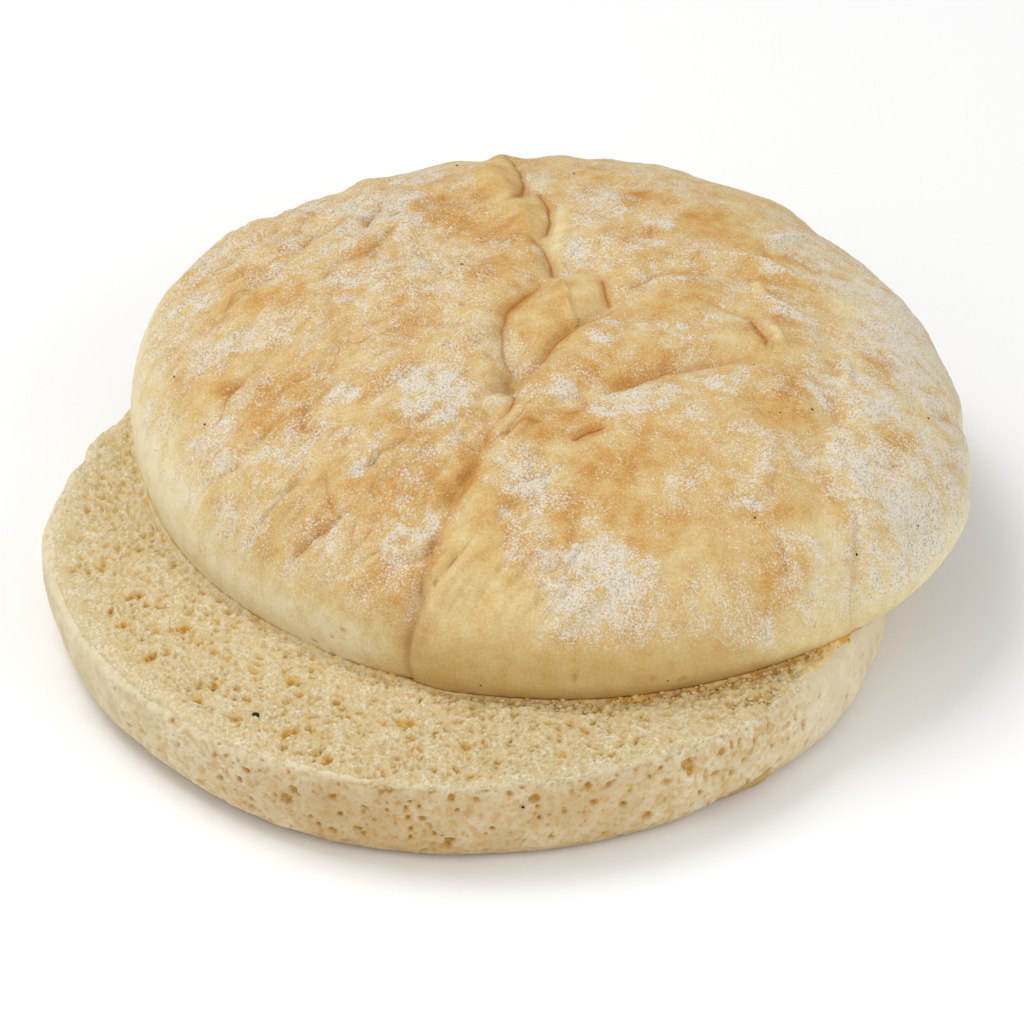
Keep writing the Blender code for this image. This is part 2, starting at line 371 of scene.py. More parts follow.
def base_skin():
    """The skin's mesh: the smooth grid, moved along its normals by bubbles, the torn edge and fine bumps."""
    places, angle, takes_relief = skin_grid()
    normal = outward(np.concatenate((places[:, -1:], places, places[:, :1]), axis=1))[:, 1:-1]
    degrees = np.broadcast_to(np.degrees(angle) % 360, places.shape[:2])
    below = BASE_THICKNESS - places[..., 2]
    on_side = smooth(below, -0.2, 0.7) * smooth(places[..., 2], 0.3, 1.6)
    ring = np.hypot(places[..., 0], places[..., 1])
    on_side = on_side * smooth(ring, 50, 56)

    porous = 0.16 + 0.84 * between(degrees, 226, 240, 316, 327)
    porous = porous * (0.75 + 0.6 * bumps(places, 11.0, 41))
    warped = places + sway(places, 0.25, 1.4, 42)
    pit = np.zeros(places.shape[:2])
    for size, share, least, more, depth, seed in SKIN_BUBBLES:
        opened = open_bubbles(warped, size, seed, least, more, slope=0.45, share=share * porous)
        pit = np.maximum(pit, depth * opened)
    tall = warped * (1, 1, 0.42)
    distance, number = bubbles(tall, 1.5, 54)
    sector = between(degrees, 303, 306, 318, 323) * smooth(below, 8.0, 6.0)
    pit = np.maximum(pit, 0.7 * smooth(distance, 0.3, 0.14) * (number < 0.5 * sector))
    for middle, depth_below, half_width, half_height in SIDE_PITS:
        across = (degrees - middle) * math.radians(BASE_RADIUS) / half_width
        upright = (below - depth_below) / half_height
        away = np.hypot(across, upright) + 0.18 * bumps(places, 0.7, 55)
        pit = np.maximum(pit, min(0.85, half_width) * smooth(away, 1.1, 0.5))
    pit = pit * on_side

    passed = (degrees - TORN_SECTOR[0]) / (TORN_SECTOR[1] - TORN_SECTOR[0])
    edge_line = TORN_EDGE - TORN_RISE * passed + 0.35 * bumps(places, 2.0, 56) + 0.2 * bumps(places, 0.8, 60)
    torn = between(passed, 0.0, 0.15, 0.97, 1.06) * smooth(below, edge_line, edge_line + 0.3)
    lip = 0.2 + 0.5 * passed + 0.25 * smooth(passed, 0.6, 0.95)
    stands = -TORN_DEPTH + lip * smooth(below, edge_line + 0.2, edge_line + 1.6)

    flaky = 0.35 + 0.65 * between(degrees, 200, 235, 314, 326)
    net = np.abs(bumps(warped, 1.7, 58)) + 0.6 * np.abs(bumps(warped, 0.8, 59))
    on_edge = smooth(below, 1.7, 0.5) * smooth(ring, 50, 56) * (1 - smooth_side(angle))
    torn_edge = on_edge * (0.7 * np.abs(bumps(warped, 1.1, 61)) + 0.9 * np.abs(bumps(warped, 0.5, 62)))
    net = 0.75 * net + 0.5 * np.abs(bumps(places, 0.5, 65))
    lumpy = 0.16 * bumps(places, 5.0, 57) - 0.34 * flaky * on_side * net
    lumpy -= 0.4 * torn_edge + on_edge * (0.14 + 0.26 * bumps(places, 2.4, 64))
    lumpy = lumpy * smooth(places[..., 2], 0.0, 1.0)
    places = places + normal * ((lumpy + torn * stands - pit) * takes_relief)[..., None]
    places[..., 2] = np.maximum(places[..., 2], 0)

    hollow = pit / 0.5 + 0.65 * flaky * on_side * smooth(net, 0.12, 0.8) * (1 - 0.6 * on_edge)
    hollow = np.clip(hollow + 0.5 * smooth(torn_edge, 0.2, 0.9), 0, 1)
    paled = np.clip(on_edge * (0.55 + 0.6 * bumps(places, 2.0, 63)), 0, 1)
    pale_side = smooth(below, 6.0, 0.5) * smooth(degrees, 150, 175) * smooth(degrees, 262, 235)
    paled = np.maximum(paled, np.maximum(0.5 * smooth_side(angle), 0.6 * pale_side))
    toasted = np.maximum(smooth(places[..., 2], 1.6, 0.3) * 0.9, torn * 0.85)
    at_pores = 0.46 * np.clip(porous, 0, 1) * on_side * between(degrees, 232, 250, 288, 303)
    toasted = np.maximum(toasted, at_pores)
    rows, columns = places.shape[:2]
    cell = np.arange(rows * columns).reshape(rows, columns)
    beside = np.roll(cell, -1, axis=1)
    quads = np.stack((cell[:-1], beside[:-1], beside[1:], cell[1:]), axis=-1).reshape(-1, 4)
    bottom_middle, inner_middle = rows * columns, rows * columns + 1
    first = np.stack((beside[0], cell[0], np.full(columns, bottom_middle)), axis=-1)
    last = np.stack((cell[-1], beside[-1], np.full(columns, inner_middle)), axis=-1)
    points = np.vstack((places.reshape(-1, 3), (0, 0, 0), (0, 0, BASE_THICKNESS - CRUMB_DEPTH)))
    points[:, :2] += BASE_MIDDLE
    marks = {"hollow": hollow, "toasted": np.append(toasted, 1), "paled": paled}
    faces = quads.tolist() + first.tolist() + last.tolist()
    bread_piece("base_skin", points, faces, marks, soft_side_material(), "bun_base")


base_skin()


# ------------------
# Crumb of the base: the open cut face. The knife has torn the soft inside into a ragged net of thin cream
# walls round honey-coloured bubbles of half a millimetre to two millimetres. It fills the skin to its edge.
# ------------------

CRUMB_CELLS = 310  # across the grid, each way
CRUMB_DRAWN = 0.34 * np.exp(1j * math.radians(250))  # where the grid's cells are drawn together
CRUMB_CROWDED = 0.62  # below 1 the cells crowd towards the rim, which shows beside the crown
CROWN_SHIFT = np.array([11.8, 21.7])  # from the base's middle to the crown's
CROWN_RADIUS = 62.0
CROWN_WAVES = ((2, 2.1, 125), (3, 0.5, 58), (4, 1.1, 66), (5, 0.45, -6), (6, 0.3, 27))
CROWN_TUCK = 2.1  # how far the crown's side draws in down to its cut
CROWN_STANDS_OUT = 1.3  # how much less it draws in at the front left

# Single bubbles of the cut face: right and back of the middle, half width, half depth, turn in degrees.
CRUMB_PITS = (
    (-53, -25, 1.6, 1.2, 30), (-48, -22, 1.0, 0.8, 0), (-40, -23, 1.2, 1.0, 20), (-37, -39, 0.6, 1.3, 10),
    (-24, -35, 1.1, 1.2, 0), (-24, -47, 1.4, 0.9, 15), (-8, -45, 1.3, 0.9, 10), (0, -50, 0.6, 1.3, 0),
    (1, -57, 1.0, 0.7, 0), (-11, -56.5, 1.0, 0.6, 0), (-31.5, -44, 0.8, 1.4, 20), (-44, -30, 1.0, 1.2, 0),
    (-19, -53, 1.1, 1.0, 0), (24, -44, 1.0, 0.7, 0), (13, -52, 0.9, 0.8, 0), (42, -39, 2.2, 1.5, 30),
    (-52, -8, 0.9, 0.8, 0), (-47, -15, 1.2, 0.7, 30),
)
# Its small bubbles: size, share open, least reach and what the widest adds to it, depth, added to the seed.
CRUMB_BUBBLES = (
    (1.3, 0.4, 0.2, 0.2, 0.2, 6), (2.7, 0.5, 0.15, 0.2, 0.42, 7), (5.5, 0.4, 0.09, 0.12, 0.5, 8),
)
PITS_WIDER = 1.35  # how many times wider than listed they open
PIT_DEPTH = 0.75


def standing_out(angle):
    """How much less than elsewhere the crown's side draws in at its cut, in mm at each angle."""
    degrees = np.degrees(angle) % 360
    at_left = smooth(degrees, 150, 175)
    return CROWN_STANDS_OUT * at_left * (1 - 0.45 * smooth(degrees, 254, 268)) * smooth(degrees, 350, 325)


def crown_edge(angle):
    """Radius of the crown at its cut."""
    return (CROWN_RADIUS - CROWN_TUCK) * outline_scale(angle, CROWN_RADIUS, CROWN_WAVES) + standing_out(angle)


def disc_grid(cells, drawn):
    """Share of the radius and angle for a square grid wrapped onto a disc.

    Each square ring round the middle becomes a circle. The disc is then shifted within itself by
    (z + drawn) / (1 + conj(drawn) z), which keeps its rim and draws the cells together on the drawn side.
    """
    line = np.linspace(-1, 1, cells + 1)
    x, y = np.meshgrid(line, line)
    share = np.maximum(np.abs(x), np.abs(y))
    flatter = np.abs(x) > np.abs(y)
    over = np.where(flatter, x, y)
    lean = np.divide(np.where(flatter, y, x), over, out=np.zeros_like(over), where=over != 0)
    angle = np.where(flatter, lean, 2 - lean) * math.pi / 4 + np.where(over < 0, math.pi, 0)
    point = share * np.exp(1j * angle)
    point = (point + drawn) / (1 + np.conj(drawn) * point)
    return np.abs(point), np.angle(point)


def closed_slab(cells, places, far_side):
    """Vertices and faces of a closed slab: a grid, the ring that far_side gives its border, and a middle."""
    cell = np.arange((cells + 1) ** 2).reshape(cells + 1, cells + 1)
    quads = np.stack((cell[:-1, :-1], cell[:-1, 1:], cell[1:, 1:], cell[1:, :-1]), axis=-1).reshape(-1, 4)
    border = np.concatenate((cell[0, :-1], cell[:-1, -1], cell[-1, :0:-1], cell[:0:-1, 0]))
    points = places.reshape(-1, 3)
    ring = far_side(points[border])
    count = len(border)
    under = len(points) + np.arange(count)
    middle = len(points) + count
    side = np.stack((border, under, np.roll(under, -1), np.roll(border, -1)), axis=-1)
    cap = np.stack((under, np.full(count, middle), np.roll(under, -1)), axis=-1)
    points = np.vstack((points, ring, ring.mean(axis=0)))
    return points, quads.tolist() + side.tolist() + cap.tolist()


def torn_crumb(flat, seed):
    """Depth of the crumb's surface below its highest walls, in mm.

    The net of walls runs where bumps cross zero: its depth is the sum of three sizes of bumps, all made
    positive. Round bubbles of three sizes are sunk into it, with ragged edges.
    """
    ragged = flat + sway(flat, 0.3, 0.9, seed + 1)
    ragged = ragged + sway(flat, 0.16, 0.4, seed + 3)
    open_here = 0.8 + 0.5 * bumps(flat, 8.0, seed + 5)
    net = 0.76 * np.abs(bumps(ragged, 1.7, seed + 10)) + 0.58 * np.abs(bumps(ragged, 0.95, seed + 11))
    net = net + 0.27 * np.abs(bumps(flat, 0.46, seed + 12))
    depth = 1.5 * net * (0.7 + 0.3 * open_here)
    for size, share, least, more, deep, order in CRUMB_BUBBLES:
        opened = open_bubbles(ragged, size, seed + order, least, more, slope=0.3, share=share * open_here)
        depth = depth + deep * opened
    return depth


def crumb_material(name, shaded):
    """Bread crumb, torn open: matt cream walls that let light through, so its bubbles are honey, not grey."""
    material, tree, shader, place = bread(name)
    hollow = node(tree, "Attribute", {"attribute_name": "hollow"}).outputs["Fac"]
    clouds = node(tree, "TexNoise", inputs={"Vector": place, "Scale": 480, "Detail": 4})  # 2 mm
    grain = node(tree, "TexNoise", inputs={"Vector": place, "Scale": 2300, "Detail": 3})  # 0.4 mm
    walls = node(
        tree, "ValToRGB", inputs={"Fac": grain}, stops=((0.32, "C5B083"), (0.5, "D5C6A1"), (0.68, "E6DCC2")),
    )
    clouded = node(tree, "MapRange", inputs=dict(zip(RANGE, (clouds, 0.42, 0.66, 0.0, 0.6))))
    warm = node(tree, "Mix", COLOURS, {0: clouded, 6: walls, 7: paint("CFB47C")})
    deep = node(
        tree, "ValToRGB", inputs={"Fac": hollow}, stops=((0.0, "DAC48E"), (0.5, "D6B166"), (1.0, "C2933C")),
    )
    open_crumb = node(tree, "Mix", COLOURS, {0: hollow, 6: warm, 7: deep})
    colour = open_crumb
    # Painted shade: shaded crumb is mixed towards a warm brown-honey, partly browning, partly the shade under
    # the crown's edge.
    if shaded:
        shade_and_browning = node(tree, "Attribute", {"attribute_name": "painted_shade_and_browning"}).outputs["Fac"]
        baked_and_shaded = node(tree, "ValToRGB", inputs={"Fac": shade_and_browning}, stops=((0.3, "F6DA90"), (1.0, "D69F45")))
        toasted = node(tree, "Mix", COLOURS, {0: shade_and_browning, 6: colour, 7: baked_and_shaded})
        colour = toasted
    lifted = node(tree, "Bump", inputs={"Strength": 0.5, "Distance": 0.25 * MM, "Height": grain})
    surface(tree, shader, colour, roughness=0.85, shine=0.15, relief=lifted)
    return material


def base_crumb():
    """The cut face's mesh: a disc inside the skin, lowered by the bubbles and sunk under the skin's edge."""
    share, angle = disc_grid(CRUMB_CELLS, CRUMB_DRAWN)
    at_right = smooth_side(angle)
    ring = np.stack((np.cos(angle), np.sin(angle)), axis=-1) * BASE_RADIUS
    reach = BASE_RADIUS - 0.95 - at_right * (0.1 + 0.5 * bumps(ring, 4.0, 31) + 0.5 * bumps(ring, 1.4, 32))
    reach = reach * outline_scale(angle, BASE_RADIUS, BASE_WAVES) - rim_dents(angle)
    radius = share**CRUMB_CROWDED * reach
    flat = turned(radius, angle)
    to_right, to_back = flat[..., 0], flat[..., 1]
    depth = torn_crumb(flat, 100)
    for right, back, half_width, half_depth, turn in CRUMB_PITS:
        cosine, sine = math.cos(math.radians(turn)), math.sin(math.radians(turn))
        away = (flat - (right, back)) @ np.array(((cosine, -sine), (sine, cosine)))
        distance = np.hypot(away[..., 0] / half_width, away[..., 1] / half_depth) / PITS_WIDER
        distance = distance + 0.25 * bumps(flat, 0.8, 121)
        depth = depth + PIT_DEPTH * smooth(distance, 1.2, 0.3)
    inside = reach - radius
    near_rim = smooth(inside, 0.0, 3.0)
    calm = 0.6 + 0.4 * near_rim - 0.6 * (rounding(angle) - at_right) * smooth(inside, 6.0, 1.0)
    depth = depth * calm

    # Under the crown the crumb is pressed flat. Along the crown's edge it stands up against the crust and is
    # browner,
    # more so at the right: partly its own browning, partly painted shade of the crown's overhang.
    from_crown = flat - CROWN_SHIFT
    crown_angle = np.arctan2(from_crown[..., 1], from_crown[..., 0])
    outside_crown = np.hypot(from_crown[..., 0], from_crown[..., 1]) - crown_edge(crown_angle)
    waves = 0.22 * bumps(flat, 10.0, 122) + 0.12 * bumps(flat, 3.2, 123) + 0.1 * bumps(flat, 1.1, 124)
    free = smooth(outside_crown, -0.5, 2.0)
    raised = 0.28 * free * near_rim
    height = BASE_THICKNESS + 0.25 + raised + waves * (0.35 + 0.65 * free) - depth
    height = np.minimum(height, BASE_THICKNESS + 0.05 + 0.6 * free)
    touching = between(outside_crown, -4.0, -1.0, 0.0, 1.2)
    height = np.maximum(height, BASE_THICKNESS + touching * 0.28 - 1.6 * (1 - touching))
    rounded_here = rounding(angle)
    round_off = SHOULDER + MORE_SHOULDER
    over = np.clip(1 - (BASE_RADIUS - radius) / round_off, 0, 0.95)
    height = height - rounded_here * round_off * (1 - np.sqrt(1 - over**2))
    height = height + 0.45 * rounded_here * smooth(inside, 4.5, 1.0)
    sinking = smooth(inside, 1.2, 0.0)
    height = height - sinking * (0.3 + 0.45 * at_right)
    torn_right = smooth(np.hypot(to_right - 40, to_back + 41), 14, 6)
    height = height + torn_right * free * (0.6 * bumps(flat, 4.5, 129) + 0.4 * bumps(flat, 1.8, 130))
    under_right = between(to_right, -12, 6, 52, 62)
    hugs_to = 1.2 + 0.7 * bumps(flat, 1.3, 126)
    hugging = between(outside_crown, -1.2, -0.3, 0.1, hugs_to) * (1 - 0.6 * under_right)
    against_crust = BASE_THICKNESS + 0.75 + 0.25 * bumps(flat, 1.1, 131) - 0.6 * depth - 2.2 * (1 - hugging)
    height = np.maximum(height, against_crust)
    scoop = between(outside_crown, 2.6, 0.4, -1.0, -3.0)
    scoop = scoop * under_right * (0.8 + 0.9 * bumps(flat, 2.2, 125))
    height = height - 0.2 * np.clip(scoop, 0, 1)

    hollow = smooth(depth, 0.2, 1.35)
    pale_rim = smooth(inside, 3.6, 0.6) * smooth(bumps(flat, 2.2, 134), -0.5, 0.3)
    hollow = hollow * (1 - 0.6 * pale_rim)
    ragged_edge = outside_crown - 0.9 * bumps(flat, 1.5, 127) - 0.6 * bumps(flat, 3.5, 128)
    # Painted shade: the crumb along the crown's edge is given a warm brown tone for the shade under the
    # crown.
    far = smooth(to_right, 5, 28)
    painted_shade_and_browning = smooth(ragged_edge, 0.6 + 1.4 * under_right + 1.2 * far, 0.0)
    painted_shade_and_browning = painted_shade_and_browning * (0.2 + 0.4 * smooth(to_right, -38, -16) + 0.25 * far)
    painted_shade_and_browning = np.maximum(painted_shade_and_browning, (0.3 * under_right + 0.25 * far) * smooth(ragged_edge, 6.0, 1.0))
    painted_shade_and_browning = np.clip(painted_shade_and_browning * (1 + 0.9 * bumps(flat, 0.8, 132) + 0.4 * bumps(flat, 2.6, 133)), 0, 1)
    places = np.concatenate((flat + BASE_MIDDLE, height[..., None]), axis=-1)
    low = (0, 0, BASE_THICKNESS - CRUMB_DEPTH + 0.2)
    points, faces = closed_slab(CRUMB_CELLS, places, lambda border: border * (1, 1, 0) + low)
    marks = {"hollow": hollow, "painted_shade_and_browning": painted_shade_and_browning}
    material = crumb_material("torn_bread_crumb", True)
    bread_piece("base_crumb", points, faces, marks, material, "bun_base")
    return places, outside_crown


CRUMB_PLACES, OUTSIDE_CROWN = base_crumb()


# ------------------
# Crumb of the crown: its cut face, which lies on the base and shows from below where the crown hangs over.
# The same torn crumb as the base's. It fills the crust down to the cut.
# ------------------

CROWN_CRUMB_CELLS = 230
CROWN_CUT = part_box("bun_crown")[0][2] / MM
CROWN_MIDDLE = BASE_MIDDLE + CROWN_SHIFT
CRUST_THICKNESS = 0.8  # of the crust's edge, seen from below


def crown_crumb():
    """The crown's cut face: a disc inside the crust, its bubbles opening downwards."""
    share, angle = disc_grid(CROWN_CRUMB_CELLS, 0)
    reach = crown_edge(angle) - CRUST_THICKNESS
    radius = share * reach
    flat = turned(radius, angle)
    depth = torn_crumb(flat, 200) * smooth(reach - radius, -0.3, 2.0)
    height = CROWN_CUT + depth + 0.05
    hollow = smooth(depth, 0.2, 1.35)
    places = np.concatenate((flat + CROWN_MIDDLE, height[..., None]), axis=-1)
    places = places[:, ::-1]  # so that the faces point down
    top = (0, 0, CROWN_CUT + 3.0)
    points, faces = closed_slab(CROWN_CRUMB_CELLS, places, lambda border: border * (1, 1, 0) + top)
    material = crumb_material("torn_crown_crumb", False)
    bread_piece("crown_crumb", points, faces, {"hollow": hollow[:, ::-1]}, material, "bun_crown")


crown_crumb()


# ------------------
# Crust of the crown: the thin baked skin of the dome, folded from two lobes that meet in a seam, with a lump
# between them. Pale at the foot, gold to tan on the dome, wrinkled on the left and pleated on the right.
# ------------------

CRUST_CELLS = 310
CRUST_DRAWN = 0.2 * np.exp(1j * math.radians(262))
CRUST_CROWDED = 1.15  # above 1 the cells crowd towards the middle, where the folds are
CROWN_HEIGHT = 27.7
CROWN_WIDEST = 3.5  # height of the widest part above the cut
CROWN_FULLNESS = 2.25  # 2 is an ellipse's quarter, more is flatter on top
WRINKLE_LENGTH, WRINKLE_WIDTH, WRINKLE_HEIGHT = 15.0, 6.0, 1.5  # of the left lobe, along its slant
CREVICE = 0.07  # how narrow the lines between its largest wrinkles are, as a share of them
PLEATS_ROUND, PLEAT_LENGTH, PLEAT_HEIGHT = 9.0, 22.0, 0.38  # of the right lobe, the first for each radian
THIN_FLOUR = 0.42  # how much lies everywhere
PATCH_FLOUR = 0.85  # how much more lies in the patches listed
FAR = 9.0  # from any crease, where the distance no longer counts

# Broad folds: route from the crown's middle, width, depth, and how far the left bank stands over the right.
BROAD_FOLDS = (
    (((-10, 52), (-8, 44), (-2, 23), (1, 7)), 3.6, 1.3, -0.4),
    (((1, 7), (-5, -3), (-6.5, -10), (-5.5, -21)), 3.2, 1.2, -0.4),
    (((-5.5, -21), (-9.5, -34), (-16, -48), (-18.5, -56), (-20.5, -64)), 4.0, 1.4, 0.9),
    (((7.5, 9), (8.5, -2), (3.5, -9), (0, -15), (-5.5, -21)), 3.2, 1.3, 0.4),
    (((8.5, -2), (15.5, 6), (28.5, 7.5)), 3.2, 0.8, 0.3), (((5, -25), (15.5, -20), (28, -13)), 3.6, 1.2, 0.5),
    (((37, -32), (39, -40), (41, -47)), 4.5, 0.6, 0.2),
    (((40.5, -4), (41.5, -13), (40.5, -22), (38, -30)), 3.6, 0.6, 0.3),
    (((56, -13), (59.4, -8.2), (61.5, -3), (63, 3)), 1.5, 1.1, 0.3),
    (((56.5, -22), (60.5, -16.5), (62.5, -11), (64, -5)), 1.5, 1.0, 0.3),
)
# Soft rises and hollows: right, back, reach, height.
SWELLS = (
    (-30, 2, 17.0, 0.9), (-24, -27, 12.0, 0.7), (-22.5, -33.5, 5.5, 0.8), (-38, -19, 5.0, 0.5),
    (-19, 3, 6.5, 0.5), (-28.5, 3, 4.0, -0.5), (-29, -37, 4.5, -0.4), (24, -31, 15.0, 0.9),
    (24, 24, 14.0, 0.7), (1, -6, 5.0, 0.6), (41, 0, 9.0, -0.8), (-44, -16, 9.0, -0.5), (-37, 43, 10.0, -1.2),
    (-57, 30, 7.0, -0.6), (-49, 36, 5.0, 0.5), (-31, 38, 7.0, 0.3), (6, 54, 8.0, -0.8), (26, 50, 8.0, -1.3),
    (44, 35, 8.0, -1.0), (58, -6, 13.0, -0.6), (33, -21, 4.0, 0.35), (44, -20, 4.0, 0.4), (30, -39, 5.0, 0.3),
    (45, -41, 5.0, 0.4), (37, -44, 3.5, -0.3), (-8, 50.5, 2.5, 0.5),
)
# Brown dents low on the front: angle in degrees, height above the cut, half width, half height.
RIM_DENTS = (
    (272.8, 4.6, 0.45, 0.8), (282.5, 3.6, 0.4, 0.45), (286.5, 2.6, 0.9, 0.4), (241.5, 5.5, 0.5, 0.45),
    (239.8, 3.8, 0.5, 0.3), (236.7, 1.4, 0.8, 0.3), (252.8, 16.1, 0.4, 0.35), (253.8, 14.5, 0.3, 0.4),
)
FINGER_GAIN = 1.9  # what the heights of the long swells are multiplied by
# Long swells: middle, half length, half width, turn in degrees, height.
FINGERS = (
    (-31.8, -13, 3.8, 1.4, 52, 0.55), (-38.5, -14, 5.5, 2.4, 38, 0.5), (-43.5, -7, 6, 2.2, 30, 0.4),
    (-20.5, 17.5, 5.0, 2.2, 68, 0.6), (-33.5, -1, 5.5, 1.8, 70, 0.5), (-37, -24, 2.2, 4.5, 0, 0.4),
    (42, -13.2, 0.8, 2.8, 0, 0.8), (32.2, -8.6, 2.3, 0.9, -75, 0.7), (30.2, 3.6, 2.4, 0.9, -69, 0.6),
    (34.7, 20.9, 6, 1.0, 47, 0.5), (31, 11, 4.5, 0.7, -12, 0.5), (32.5, 0.3, 4, 0.7, -12, 0.45),
    (37.5, 9, 3, 0.6, 5, 0.4), (-30.5, 14, 6, 2.4, 35, 0.45), (-39, 17.5, 6, 2.2, 40, 0.45),
    (-46, 15, 4, 2.5, 40, 0.35), (-29, -36.5, 2.6, 6, -15, 0.45), (-21, -37.5, 5, 2.6, 30, 0.5),
    (-41, -33, 5, 2.5, -20, 0.4), (-44.5, 1.5, 5, 2.2, 35, 0.4), (-24, -16, 6, 2.6, 25, 0.4),
    (-12, 3, 6, 3, 45, 0.4), (-13, -13, 6, 3, 30, 0.35), (-7.3, 38, 12, 3.0, 94, 1.1),
    (-3.2, 21, 8, 2.6, 92, 0.8), (-23, 4, 2.2, 6, -10, 0.35), (-16, 22, 7, 2.6, 15, 0.35),
    (-14, 33, 7, 2.4, 20, 0.35),
)
